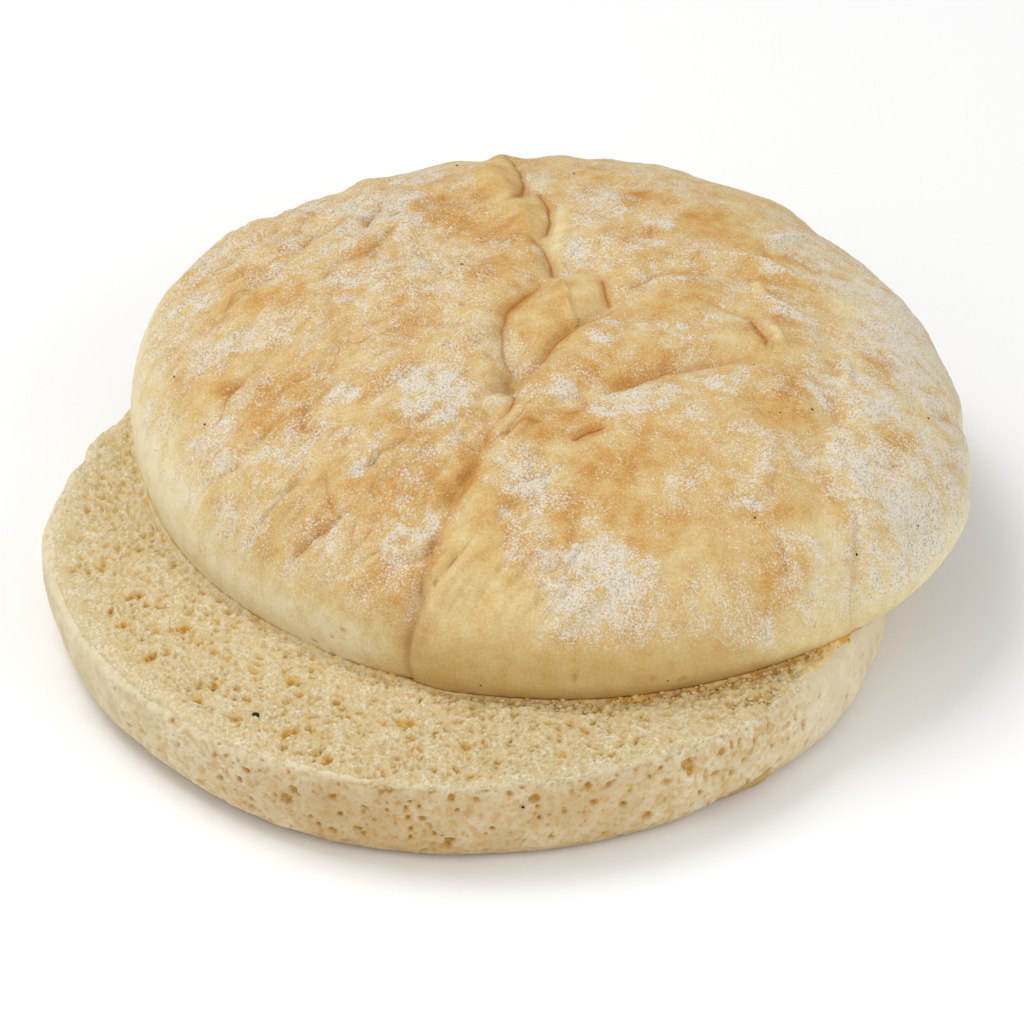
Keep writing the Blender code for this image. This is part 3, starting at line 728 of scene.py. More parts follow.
# Sharp creases: route, width, depth, lift of the left bank, and how dark the line of painted shade is.
CREASES = (
    # The edges of the two blistered flaps at the back, and the seam down to the lump
    (((-6.5, 50), (-5.8, 44.5), (-4.6, 40), (-3.8, 35), (-4, 29.5), (-5.2, 25.5), (-7.5, 23.5)),
     0.8, 0.5, -0.9, 0.9),
    (((-2.4, 32.5), (-1.5, 30), (-0.3, 25.5), (0.2, 21), (-0.5, 17), (-1.5, 14.3)), 0.7, 0.45, -0.8, 0.9),
    (((-3.5, 14.5), (-1.5, 12), (0, 9), (0.5, 6.5), (1.5, 4), (2.4, 3)), 0.7, 0.6, -0.6, 0.8),
    # Round the lump
    (((0, 4), (-1.8, 1.5), (-4, -1.5), (-6.2, -4.5), (-7, -9), (-6.8, -14), (-5, -19), (-4.2, -20.5)),
     1.0, 0.6, -0.35, 0.7),
    (((7.2, 5.8), (8, 2), (8.7, -2.8)), 0.6, 0.55, 0.45, 0.8),
    (((8.8, -2.6), (8.6, -5), (7, -6.5), (4, -8.5), (2, -11), (0, -13.5), (-0.6, -16), (-2, -18),
      (-4.2, -20.5)), 0.9, 0.75, 0.7, 0.85),
    (((1.5, 3), (2.4, -3), (3.4, -9)), 0.9, -0.8, 0.0, 0.0),
    # Down the front
    (((-4.2, -20.5), (-5, -24), (-5.5, -27), (-6.8, -29), (-8, -29.3)), 0.8, 0.7, 0.5, 0.95),
    (((-8.5, -34), (-5, -32), (-1, -31)), 0.7, 0.35, 0.1, 0.6),
    (((-8, -29), (-9.6, -34.2), (-11.9, -40.9), (-14, -44.5), (-15.8, -48.1)), 1.4, 0.7, 0.7, 0.3),
    (((-14.4, -45.5), (-15.9, -48.1), (-17.1, -51.9), (-17.9, -54.6), (-17.9, -56.8), (-20.9, -59),
      (-27, -64)), 0.8, 0.8, 1.6, 0.5),
    # The tucks of the right lobe
    (((5.5, -25), (8, -24.2), (11, -22.3), (14, -20.7), (17, -19), (20, -17.6), (24, -16), (28.5, -13)),
     0.9, 0.75, -0.65, 0.85),
    (((4.8, -25.2), (5, -27), (3.5, -28.7), (1.5, -30)), 0.8, 0.4, 0.2, 0.5),
    (((2.5, -35), (4.5, -33.5), (6, -32.8), (8, -31.8)), 0.7, 0.8, -0.3, 1.0),
    (((10.5, 0.3), (13, 2.5), (15.5, 5), (18, 6), (21, 6.4), (24.5, 6.8)), 0.8, 0.5, -0.5, 0.7),
    (((27.5, -3.5), (29.5, -6), (30.5, -9), (31, -12)), 0.8, 0.9, 0.5, 0.9),
    (((22.5, -1), (24.5, -3), (28, -5)), 0.9, 0.35, -0.2, 0.4),
    (((40.5, -10), (41, -12.5), (41.2, -15)), 0.7, 0.5, 0.4, 0.25),
    (((40.4, -19), (40.5, -23), (40.8, -27)), 0.6, 0.4, 0.1, 0.3),
    (((45, -29.6), (47.3, -30.4), (49.8, -28)), 0.7, 0.5, -0.2, 0.4),
    (((34.6, -17), (34, -20), (32.8, -23.5)), 0.7, 0.45, 0.2, 0.35),
    (((31.8, -35), (30.5, -38), (31, -41.5)), 0.7, 0.5, 0.2, 0.4),
    (((31, -46), (32, -48), (33, -51)), 0.6, 0.3, 0.1, 0.4),
    (((41.8, -38), (42.3, -42), (41.9, -46), (41.7, -51), (40.5, -56)), 1.2, 0.6, -0.9, 0.12),
    (((15.2, 19), (14.7, 16), (14.4, 13.5)), 0.6, 0.35, 0.2, 0.5),
    (((31, 17), (31.3, 14), (31.5, 11.5)), 0.6, 0.3, 0.2, 0.4),
    # The cracks and dents of the left lobe
    (((-24.8, 31.5), (-25.3, 28), (-26.5, 25), (-27, 22), (-26.5, 20)), 1.1, 1.5, 0.5, 0.8),
    (((-22, 20.5), (-23, 17.5), (-24.2, 15), (-26.5, 12.5), (-29, 10.5), (-31, 8.5), (-32.2, 6.5),
      (-33.2, 4)), 1.0, 0.9, 0.7, 0.6),
    (((-30, 23.5), (-33, 21), (-35, 19.5), (-36.3, 17), (-37.2, 14)), 1.0, 0.8, 0.5, 0.6),
    (((-38.5, 11.5), (-41, 9.5), (-43, 8), (-44.5, 5)), 0.8, 0.4, 0.2, 0.4),
    (((-31.6, 4), (-31.5, 0), (-31, -4.5)), 0.8, 0.25, 0.1, 0.25),
    (((-34.3, -22), (-34.6, -25), (-35, -28)), 0.9, 0.5, 0.3, 0.6),
    (((-36.5, -45.3), (-33, -44.5), (-30, -43.5), (-28.5, -41.8)), 0.8, 0.6, -0.6, 0.7),
    (((-27, -38), (-24, -35.8), (-21.5, -34), (-18.5, -33)), 1.2, 0.35, 0.45, 0.2),
    (((-39.5, -9.5), (-43, -11.8), (-46, -14), (-47, -18), (-47.5, -22)), 1.0, 0.55, 0.3, 0.45),
    (((-30.6, -14.5), (-33.5, -17), (-37.5, -18.8), (-41.5, -20.5)), 1.2, 0.4, 0.2, 0.25),
    (((-34.5, 2), (-37, -4), (-39.8, -9), (-44, -11.5)), 1.3, 0.45, 0.25, 0.2),
    (((-29.3, -9.5), (-30, -13.5), (-31.6, -18)), 0.9, 0.45, 0.25, 0.35),
    (((-31.4, -35), (-31, -39.5), (-29.8, -43)), 1.0, 0.35, 0.15, 0.4),
    (((-21, -8.8), (-17, -8.2), (-11, -8.8)), 1.4, 0.4, -0.2, 0.15),
    (((-47.5, 3), (-45, 7.8), (-42, 10), (-39.5, 10.8)), 1.0, 0.45, -0.25, 0.45),
    (((-49, 17.5), (-46.5, 20), (-44.3, 23.2), (-42.5, 25.5)), 1.1, 0.55, -0.3, 0.5),
    (((-35, 26.5), (-34.7, 29.5), (-35.5, 33)), 0.9, 0.35, 0.2, 0.3),
    (((-15.5, 5), (-17.3, 7.8), (-20, 9.6)), 0.9, 0.35, 0.2, 0.3),
    (((-30, -29.2), (-34.5, -29.8), (-40, -28.6)), 1.3, 0.3, 0.2, 0.15),
    (((-52, -6), (-47, -4), (-41, -1.5)), 1.3, 0.35, 0.25, 0.1),
)
# Where the dome is browner: right, back, half width, half depth, turn in degrees, strength.
BROWNED = (
    (-13.5, 26.5, 7, 4.5, 0, 0.8), (-7, 14, 5.5, 4.5, 0, 0.6), (-44, 23, 2.5, 2, 0, 0.6),
    (-31, 23, 2.5, 2, 0, 0.5), (-27, 12, 4, 3, 0, 0.6), (-44, 13, 4.5, 2, 0, 0.6), (-38, 3, 3, 3, 0, 0.5),
    (-46, -13, 2.2, 2, 0, 0.8), (-38.5, -20, 6, 4.5, 20, 0.6), (-34.5, -26, 2, 3, 0, 0.5),
    (-19.5, -4.5, 5, 4.5, 0, 0.55), (-20, -41, 6.5, 5, 20, 0.65), (-33, -43, 3, 2, 0, 0.5),
    (-22, -52.5, 5, 5, 0, 0.35), (12, -19, 10, 2.4, 22, 0.6), (2, -32, 7, 3.5, 5, 0.9),
    (11, 16.5, 4, 3.5, 0, 0.8), (14, 27.5, 5, 3, 0, 0.75), (30.5, -24.5, 6, 7.5, 0, 0.2),
    (36.5, -40, 6, 5.5, 0, 0.3), (20, -47, 6, 5, 0, 0.35), (5, -47, 6, 5, 0, 0.4), (8, -39, 6, 4, 0, 0.6),
    (15, -36, 6, 5, 0, 0.4), (48, -25, 4.5, 5.5, 0, 0.35), (31, 7, 3.5, 1, 0, 0.6), (36, 8, 3.5, 1, 0, 0.6),
    (-10.5, -36.5, 2.2, 7, -17, 0.6), (-15, -49, 2, 6, -20, 0.5), (-9, -50, 3, 5, -30, 0.35),
    (-2, -55, 3, 3, 0, 0.35), (34, 3, 3.5, 1, 0, 0.6), (33, -4, 3.5, 1, 0, 0.6), (35.5, 14, 5, 1.5, 0, 0.6),
    (23, 20.5, 5, 5, 0, 0.5), (-41.9, 2.7, 3, 2, 20, 0.5), (-37, -25.4, 4, 2.5, 20, 0.6),
    (-12.9, 18.5, 4, 4, 0, 0.6), (-18.4, -3.5, 4, 2, 0, 0.5), (-19.5, -36, 3, 5, -15, 0.6),
    (-29.2, -41, 6, 3.5, 10, 0.35), (47.2, -9.4, 3.5, 5, 0, 0.5), (48.2, -25.1, 3.5, 3.5, 0, 0.7),
    (53.1, -23.1, 2, 2, 0, 0.4), (-7.3, 32.9, 2.5, 7, 5, 0.3), (-1, -8, 5, 7, 0, 0.3),
)
# Where it stays pale, smooth and free of flour.
PALE = (
    (1.2, 17, 1.7, 8, -8, 0.8), (-12, -54, 4.4, 10, -17, 0.42), (-6, -58.5, 7, 4, 0, 0.35),
    (38.5, -49, 3.2, 9, 8, 0.75), (45, -45, 5, 4, 40, 0.4), (5.5, 0.5, 3, 4.5, 0, 0.3),
    (32.2, -8.6, 2.6, 1.1, -75, 0.6), (30.2, 3.6, 2.6, 1.1, -69, 0.6),
)
# Where no flour lies.
BARE = (
    (1.2, 17, 1.7, 8, -8, 0.9), (-12, -54, 4.4, 11, -17, 0.9), (-8, -59, 7, 5, 0, 0.9),
    (-7.5, 35, 3.4, 12, 4, 0.85), (-3, 20.5, 2.8, 8, 0, 0.85), (32.2, -8.6, 2.3, 0.8, -75, 0.8),
    (30.2, 3.6, 2.4, 0.8, -69, 0.8), (24, 21, 6, 7, 0, 0.5), (20, -49, 4, 3.5, 0, 0.5),
    (5.5, 0.5, 3, 4.5, 0, 0.8), (0, -6, 5.5, 8, 0, 0.5),
)
# Where flour lies.
FLOURED = (
    (-16, -24, 7, 7, 0, 0.9), (-29, -23, 3, 3, 0, 0.8), (-19, 2, 12, 19, 0, 0.5),
    (-20.5, 17.5, 2, 4, -15, 0.9), (-26, 28, 9, 9, 45, 0.8), (-33, 12, 5, 2.5, 40, 0.6),
    (-46, -5, 7, 3, 25, 0.7), (-47, -22, 3, 4, 0, 0.8), (-46, -27.5, 7, 1.8, 12, 0.7),
    (-25.5, -36, 3, 1, 34, 0.8), (-27.5, -42, 1.5, 3, 0, 0.6), (-20.5, -48, 4, 1, 5, 0.9),
    (-13, -46.5, 3.2, 2.2, 35, 0.9), (-3.5, -43, 6, 1.8, 12, 0.8), (-6.5, -47, 0.9, 0.9, 0, 0.9),
    (5, -56, 11, 6, 12, 0.85), (1.5, -25, 3.5, 4, 0, 0.7), (12, -26, 9, 3.5, 15, 0.8),
    (24, -22, 4, 3, 0, 0.8), (20, -29, 4, 2.5, 0, 0.6), (27, -31, 4, 2.5, 0, 0.6), (33, -31, 4, 2.5, 0, 0.6),
    (38.5, -18.5, 4, 6, 0, 0.7), (50, -1, 8, 10, 0, 0.85), (45.5, -33.5, 8.5, 4, -25, 0.95),
    (35, -34, 2.5, 2, 0, 0.7), (33, -1.5, 3.5, 1.8, 0, 0.8), (36, -12, 3, 4, 0, 0.5),
    (14.5, 12.5, 3, 1.1, 0, 0.95), (17, 18.5, 2, 2, 0, 0.9), (8.5, 7.5, 3.8, 1.4, -10, 0.7),
    (22, 9, 1.6, 1.2, 0, 0.6), (26, 9, 1.6, 1.2, 0, 0.6), (8.5, 26, 6, 5.5, 0, 0.75),
    (7, -13, 2.2, 2.2, 0, 0.8), (13, -9, 1.1, 1, 0, 0.9), (18.5, -9, 1, 1.4, 0, 0.9),
    (24.5, -6, 3, 2, 0, 0.7), (27, -19, 2, 3.2, 0, 0.6), (40, 23, 7, 3, -45, 0.7), (35.5, 10, 7, 1.2, 5, 0.7),
    (28, -43, 1.5, 1.5, 0, 0.9), (32, -47, 2, 2, 0, 0.8), (-17, -45.5, 1.3, 2, 0, 0.8),
    (18, -42, 3, 2, 0, 0.6), (20, -39, 3, 2, 0, 0.5), (31, 11, 4.5, 0.7, -12, 0.9),
    (32.5, 0.3, 4, 0.7, -12, 0.9), (34.7, 20.9, 6, 0.9, 47, 0.85), (15, 42, 6, 8, 0, 0.5),
    (-20, 42, 7, 8, 0, 0.7), (6, 21, 4.5, 7, 0, 0.55), (35, -49, 5, 8, -35, 0.5), (42, -13, 1.2, 3, 0, 0.9),
    (36, -46, 1.4, 1.4, 0, 0.9), (26, -57, 9, 4, 12, 0.5), (44, -42, 5, 8, -40, 0.6), (40, -34, 6, 6, 0, 0.6),
    (37, 18.5, 6, 5, 0, 0.7), (-29, 20.5, 5, 4, 0, 0.65), (-44, 14, 5, 4, 0, 0.5), (16, 36, 5, 4, 0, 0.5),
    (45, 12, 5, 8, 0, 0.6), (-38, 30, 7, 5, 45, 0.4), (49, -32, 10, 7, -25, 0.85), (54, -12, 8, 12, 0, 0.6),
    (53, 8, 9, 14, 0, 0.75), (-19, 3, 13, 16, 0, 0.55),
)


def crown_profile():
    """Radius and height along the crust from the top of the dome down to the rim of the cut.

    The dome is a quarter of a superellipse. Below its widest part the side draws in along a cosine.
    """
    down = np.linspace(math.pi / 2, 0, 400)
    dome_radius = CROWN_RADIUS * np.abs(np.cos(down)) ** (2 / CROWN_FULLNESS)
    dome_height = CROWN_WIDEST + (CROWN_HEIGHT - CROWN_WIDEST) * np.sin(down) ** (2 / CROWN_FULLNESS)
    tuck = np.linspace(0, 1, 40)[1:]
    tuck_radius = CROWN_RADIUS - CROWN_TUCK * (1 - np.cos(tuck * math.pi / 2))
    return np.append(dome_radius, tuck_radius), np.append(dome_height, CROWN_WIDEST * (1 - tuck))


def rounded(route, times=2):
    """The route with its corners cut at a quarter and three quarters of each leg, twice, its ends kept."""
    route = np.array(route, float)
    for _ in range(times):
        quarter = route[:-1] * 0.75 + route[1:] * 0.25
        three = route[:-1] * 0.25 + route[1:] * 0.75
        route = np.vstack((route[:1], np.stack((quarter, three), axis=1).reshape(-1, 2), route[-1:]))
    return route


def beside_route(flat, route):
    """Distance of each place from a route seen from above, over 0 to the left of it, and the share passed."""
    legs = np.linalg.norm(np.diff(route, axis=0), axis=1)
    passed = np.append(0, np.cumsum(legs)) / legs.sum()
    best = np.full(flat.shape[:-1], np.inf)
    signed = np.zeros(flat.shape[:-1])
    share = np.zeros(flat.shape[:-1])
    for index, (start, end) in enumerate(zip(route, route[1:])):
        run = end - start
        along = np.clip((flat - start) @ run / (run @ run), 0, 1)
        away = flat - (start + along[..., None] * run)
        distance = np.hypot(away[..., 0], away[..., 1])
        side = np.where(run[0] * away[..., 1] - run[1] * away[..., 0] < 0, -1, 1)
        nearer = distance < best
        best = np.where(nearer, distance, best)
        signed = np.where(nearer, side * distance, signed)
        share = np.where(nearer, passed[index] + along * (passed[index + 1] - passed[index]), share)
    return signed, share


def in_ellipse(flat, right, back, half_width, half_depth, turn):
    """Distance of each place from the middle of a turned ellipse, which is 1 on its outline."""
    cosine, sine = math.cos(math.radians(turn)), math.sin(math.radians(turn))
    away = flat - (right, back)
    across = (away[..., 0] * cosine + away[..., 1] * sine) / half_width
    upright = (away[..., 1] * cosine - away[..., 0] * sine) / half_depth
    return np.hypot(across, upright)


def patches(flat, spots):
    """The strongest of the spots at each place: full inside an ellipse and fading over its outer half."""
    strongest = np.zeros(flat.shape[:-1])
    for *ellipse, strength in spots:
        strongest = np.maximum(strongest, strength * smooth(in_ellipse(flat, *ellipse), 1.4, 0.45))
    return strongest


def dome_relief(flat):
    """Height of the folds, swells and creases over the smooth dome, how dark and far the nearest crease is.

    A broad fold is a bell-shaped valley with one bank raised. A swell is a bell, round or drawn out. A crease
    is a narrow valley that falls as exp(-distance / width), with a step at its line.
    """
    relief = np.zeros(flat.shape[:-1])
    line = np.zeros(flat.shape[:-1])
    beside = np.full(flat.shape[:-1], FAR)
    for route, width, depth, lift in BROAD_FOLDS:
        offset = beside_route(flat, np.array(route, float))[0] / width
        relief += -depth * np.exp(-(offset**2) * 2) + lift * offset * np.exp(-(offset**2) / 2)
    for right, back, reach, height in SWELLS:
        distance = np.hypot(flat[..., 0] - right, flat[..., 1] - back) / reach
        relief += height * np.exp(-(distance**2))
    for right, back, half_length, half_width, turn, height in FINGERS:
        distance = in_ellipse(flat, right, back, half_length, half_width, turn)
        relief += FINGER_GAIN * height * np.exp(-(distance**2))

    wavering = flat + sway(flat, 0.35, 2.6, 301)
    for route, width, depth, lift, darkness in CREASES:
        curve = rounded(route)
        near = np.all((flat > curve.min(axis=0) - 7) & (flat < curve.max(axis=0) + 7), axis=-1)
        offset, share = beside_route(wavering[near], curve)
        ends = between(share, -0.02, 0.22, 0.78, 1.02)
        away = np.abs(offset)
        side = 1 / (1 + np.exp(-np.clip(offset / 0.12, -30, 30)))
        bank = np.where(lift > 0, side, 1 - side) * abs(lift) * np.exp(-away / (2.8 * width))
        relief[near] += ends * (bank - 1.25 * depth * np.exp(-away / width))
        nearer = (away < np.abs(beside[near])) & (ends > 0.01)
        beside[near] = np.where(nearer, offset, beside[near])
        # The line's darkness is painted shade in the crust's colour.
        line[near] = np.where(nearer, ends * darkness * smooth(away, 1.7, 0.9), line[near])
    return relief, line, beside


def crust_material():
    """Baked wheat crust under flour: matt, cream where the dough was shielded, gold to tan on top."""
    material, tree, shader, place = bread("baked_floured_crust")
    marks = ("baked_and_shaded", "floured", "creased", "beside", "painted_shade_and_dents", "front_tint_and_shade")
    baked_and_shaded, floured, creased, beside, painted_shade_and_dents, front_tint_and_shade = (
        node(tree, "Attribute", {"attribute_name": mark}).outputs["Fac"] for mark in marks
    )
    mottle = node(tree, "TexNoise", inputs={"Vector": place, "Scale": 420, "Detail": 4})  # 2.4 mm clouds
    grain = node(tree, "TexNoise", inputs={"Vector": place, "Scale": 2600, "Detail": 3})  # 0.4 mm grain
    powder = node(  # 0.3 mm flour grains
        tree, "TexNoise", inputs={"Vector": place, "Scale": 3100, "Detail": 4, "Roughness": 0.7},
    )
    shift = node(tree, "MapRange", inputs=dict(zip(RANGE, (mottle, 0.3, 0.7, -0.12, 0.12))))
    grainy = node(tree, "MapRange", inputs=dict(zip(RANGE, (grain, 0.35, 0.65, -0.1, 0.1))))
    shifts = node(tree, "Math", {"operation": "ADD"}, {0: shift, 1: grainy})
    uneven = node(tree, "Math", {"operation": "ADD"}, {0: baked_and_shaded, 1: shifts})
    crust = node(
        tree, "ValToRGB", inputs={"Fac": uneven},
        stops=((0.0, "E5D8B4"), (0.95, "B17C38"), (0.25, "D9C38D"), (0.5, "D0AE70"), (0.72, "C6954E")),
    )
    # Painted shade, partly its own colour: the low front of the crown is mixed towards an olive tan.
    front_shaded = node(tree, "Mix", COLOURS, {0: front_tint_and_shade, 6: crust, 7: paint("BFA76C")})
    # Painted shade: a crease's brown line, 0.3 mm to each side of it and ragged, in a band half as strong of
    # 1.4 mm
    away = node(tree, "Math", {"operation": "ABSOLUTE"}, {0: beside})
    ragged = node(tree, "Math", {"operation": "ADD"}, {0: away, 1: grainy})
    line = node(tree, "MapRange", inputs=dict(zip(RANGE, (ragged, 0.36, 0.08, 0.0, 1.0))))
    band = node(tree, "MapRange", inputs=dict(zip(RANGE, (away, 1.4, 0.2, 0.0, 0.5))))
    either = node(tree, "Math", {"operation": "MAXIMUM"}, {0: line, 1: band})
    furrow = node(tree, "Math", {"operation": "MULTIPLY"}, {0: either, 1: creased})
    painted_shade_and_browning = node(tree, "Math", {"operation": "MAXIMUM"}, {0: furrow, 1: painted_shade_and_dents})
    # B46C16: colour of the painted shade in creases, crevices and along the crust's edge, and of the dents.
    creases = node(tree, "Mix", COLOURS, {0: painted_shade_and_browning, 6: front_shaded, 7: paint("B46C16")})
    specks = node(tree, "MapRange", inputs=dict(zip(RANGE, (grain, 0.3, 0.7, -0.5, 0.5))))
    fine = node(tree, "MapRange", inputs=dict(zip(RANGE, (powder, 0.37, 0.63, -0.42, 0.42))))
    both = node(tree, "Math", {"operation": "ADD"}, {0: floured, 1: fine})
    lying = node(
        tree, "MapRange", {"interpolation_type": "SMOOTHSTEP"},
        dict(zip(RANGE, (both, 0.44, 0.82, 0.0, 0.84))),
    )
    dusted = node(tree, "Mix", COLOURS, {0: lying, 6: creases, 7: paint("E0D9CA")})
    heap = node(tree, "Math", {"operation": "ADD"}, {0: lying, 1: specks})
    sunk = node(tree, "Bump", {"invert": True}, {"Strength": 0.7, "Distance": 0.35 * MM, "Height": furrow})
    lifted = node(
        tree, "Bump", inputs={"Strength": 0.25, "Distance": 0.1 * MM, "Height": heap, "Normal": sunk},
    )
    surface(tree, shader, dusted, roughness=0.7, shine=0.3, relief=lifted)
    return material


def crown_crust():
    """The crust's mesh, and its grid, normals and flour for the grains that lie on it."""
    share, angle = disc_grid(CRUST_CELLS, CRUST_DRAWN)
    share = share**CRUST_CROWDED
    radius, height = crown_profile()
    along = np.append(0, np.cumsum(np.hypot(np.diff(radius), np.diff(height))))
    reach = np.interp(share * along[-1], along, radius) * outline_scale(angle, CROWN_RADIUS, CROWN_WAVES)
    above = np.interp(share * along[-1], along, height)
    reach = reach + standing_out(angle) * np.clip(1 - above / CROWN_WIDEST, 0, 1) ** 2
    places = turned(reach, angle, above)
    flat = places[..., :2]
    to_right, to_back = flat[..., 0], flat[..., 1]
    normal = outward(places)
    normal *= np.sign(normal[CRUST_CELLS // 2, CRUST_CELLS // 2, 2])
    at_rim = above < 0.01
    normal[at_rim, 2] = 0

    relief, line, beside = dome_relief(flat)
    dark = line * np.exp(-np.abs(beside) / 0.6)
    # Painted shade: a ragged brown line along the crust's lower edge, where it meets the crumb.
    painted_shade_and_dents = 0.6 * smooth(above, 0.9, 0.1) * smooth(bumps(places, 1.6, 319), -0.5, 0.5)
    on_dome = smooth(above, 1.0, 6.0)
    left = smooth(to_right + 0.3 * to_back, -4, -14)
    across, upright = to_right + to_back, to_back - to_right
    slant = np.stack((across / WRINKLE_LENGTH, upright / WRINKLE_WIDTH), axis=-1)
    slant = slant + sway(flat, 0.35, 11.0, 309)
    long_wave, short_wave = bumps(slant, 1.0, 311), bumps(slant * 2.1, 1.0, 312)
    wrinkles = np.sqrt(long_wave**2 + 0.002) + 0.5 * np.abs(short_wave) - 0.35
    pleats = np.stack((angle * PLEATS_ROUND, reach / PLEAT_LENGTH), axis=-1)
    ring = smooth(reach, 30, 48)
    relief += smooth(above, 5.0, 15.0) * (0.15 + 0.85 * left) * WRINKLE_HEIGHT * wrinkles
    crevice = np.exp(-((long_wave / CREVICE) ** 2)) * smooth(bumps(flat, 7.0, 310), 0.05, 0.45)
    crevice = crevice * left * smooth(above, 12.0, 16.0)
    # Painted shade in the crevices.
    painted_shade_and_dents = np.maximum(painted_shade_and_dents, 0.4 * crevice)
    relief -= 0.3 * crevice
    pleated = PLEAT_HEIGHT * ring * bumps(pleats, 1.0, 314)
    relief += on_dome * (1 - left) * (0.28 * bumps(flat, 9.0, 313) + pleated)
    relief += on_dome * (0.12 * bumps(places, 3.4, 315) + 0.06 * bumps(places, 1.5, 316))
    relief += (0.25 * bumps(places, 14.0, 317) + 0.05 * bumps(places, 2.4, 318)) * smooth(above, 0, 3)

    relief *= 0.3 + 0.7 * smooth(above, 0.0, 6.0)
    degrees = np.degrees(angle) % 360
    for middle, dent_height, half_width, half_height in RIM_DENTS:
        across = (degrees - middle) * math.radians(CROWN_RADIUS) / half_width
        dent = smooth(np.hypot(across, (above - dent_height) / half_height), 1.4, 0.4) * (above > 0.01)
        relief -= 0.15 * dent
        # The dents are browner: partly their own colour, partly painted shade in them.
        painted_shade_and_dents = np.maximum(painted_shade_and_dents, 0.45 * dent)

    ragged = flat + sway(flat, 1.3, 4.5, 321)
    ragged = ragged + sway(flat, 0.6, 1.6, 323)
    pale = patches(ragged, PALE)
    west = smooth(to_right, -40, -54)
    foot = smooth(above, 4.5 + 2 * west, 12.0 + 6 * west)
    far_right = smooth(to_right, 22, 36)
    front = smooth(-to_back, 34, 50) * smooth(-to_right, 30, 14)
    right_rim = smooth(to_right, 34, 50) * smooth(to_back, -48, -38)
    baked_and_shaded = 0.5 + 0.13 * bumps(flat, 13.0, 325) + 0.13 * bumps(flat, 4.5, 326) - 0.1 * right_rim
    browner = patches(ragged, BROWNED)
    baked_and_shaded = baked_and_shaded + 0.29 * browner
    # Tanner low front band: partly its own colour, partly painted shade of a side that faces down, from the
    # lights.
    baked_and_shaded = baked_and_shaded * (1 - 0.8 * pale) * (0.06 + 0.94 * foot) + (0.52 - 0.3 * far_right) * front * (1 - foot)
    baked_and_shaded += 0.12 * on_dome * np.clip(wrinkles, -0.4, 0.6)
    baked_and_shaded = np.clip(baked_and_shaded, 0, 1)
    # Painted shade, partly its own olive tan: the low front band is mixed towards an olive tan.
    front_tint_and_shade = (0.5 - 0.4 * far_right) * front * (1 - foot)

    low_right = np.maximum(right_rim, smooth(to_right, 16, 30))
    at_back = smooth(to_back, -5, 15)
    thin = THIN_FLOUR + 0.3 * bumps(flat, 8.0, 327) + 0.08 * left + 0.35 * right_rim + 0.08 * at_back
    thin -= 0.2 * on_dome * np.clip(wrinkles, -0.4, 0.6)
    flour = np.maximum(thin, 0.3 * thin + PATCH_FLOUR * patches(ragged, FLOURED))
    flour = flour * (0.9 + 0.5 * bumps(flat, 2.6, 328) + 0.35 * bumps(flat, 1.1, 329))
    from_foot = smooth(above, 5.5 - 3.5 * low_right, 11.0 - 5 * low_right)
    flour = flour * (1 - patches(ragged, BARE)) * (1 - 0.35 * browner) * from_foot
    flour = np.clip(flour * (1 - 0.55 * dark), 0, 1)

    relief += 0.07 * smooth(flour, 0.3, 0.9) * (1 + bumps(flat, 0.9, 330))
    places = places + normal * relief[..., None]
    places += (*CROWN_MIDDLE, CROWN_CUT)

    def inner_ring(border):
        """The crust's edge: a ring one crust thickness inside the rim, a little up from the cut."""
        middle = np.append(CROWN_MIDDLE, CROWN_CUT + 2.0)
        pull = border - middle
        distance = np.hypot(pull[:, 0], pull[:, 1])[:, None]
        inner = middle + pull * (distance - CRUST_THICKNESS - 0.6) / distance
        inner[:, 2] = CROWN_CUT + 2.0
        return inner

    points, faces = closed_slab(CRUST_CELLS, places, inner_ring)
    marks = {"baked_and_shaded": baked_and_shaded, "floured": flour, "creased": line, "painted_shade_and_dents": painted_shade_and_dents, "front_tint_and_shade": front_tint_and_shade}
    marks["beside"] = np.append(beside, np.full(len(points) - beside.size, FAR))
    bread_piece("crown_crust", points, faces, marks, crust_material(), "bun_crown")
    facing = outward(places)
    facing *= np.sign(facing[CRUST_CELLS // 2, CRUST_CELLS // 2, 2])
    return places, facing, flour, above


CRUST_PLACES, CRUST_FACING, CRUST_FLOUR, CRUST_ABOVE = crown_crust()


# ------------------
# Flour: wheat flour sieved over the proved dough and baked on. Grains of 0.15 to 0.35 mm and clumps of 0.3
# to 0.7 mm sit on the crust, thickest in patches. Real grains are finer: these are drawn coarser, to show.
# ------------------

GRAIN_COUNT, LEAST_GRAIN, MORE_GRAIN = 48000, 0.07, 0.09  # least radius, and what the largest adds to it
CLUMP_COUNT, LEAST_CLUMP, MORE_CLUMP = 900, 0.14, 0.22
GATHERED = 2.6  # how strongly the grains gather where there is most flour
FOUR_SIDED = (
    np.array(((1, 1, 1), (1, -1, -1), (-1, 1, -1), (-1, -1, 1)), float) * 0.8,
    np.array(((0, 1, 2), (0, 3, 1), (0, 2, 3), (1, 3, 2))),
)
EIGHT_SIDED = (
    np.array(((1, 0, 0), (-1, 0, 0), (0, 1, 0), (0, -1, 0), (0, 0, 1), (0, 0, -1)), float),
    np.array(((0, 2, 4), (2, 1, 4), (1, 3, 4), (3, 0, 4), (2, 0, 5), (1, 2, 5), (3, 1, 5), (0, 3, 5))),
)


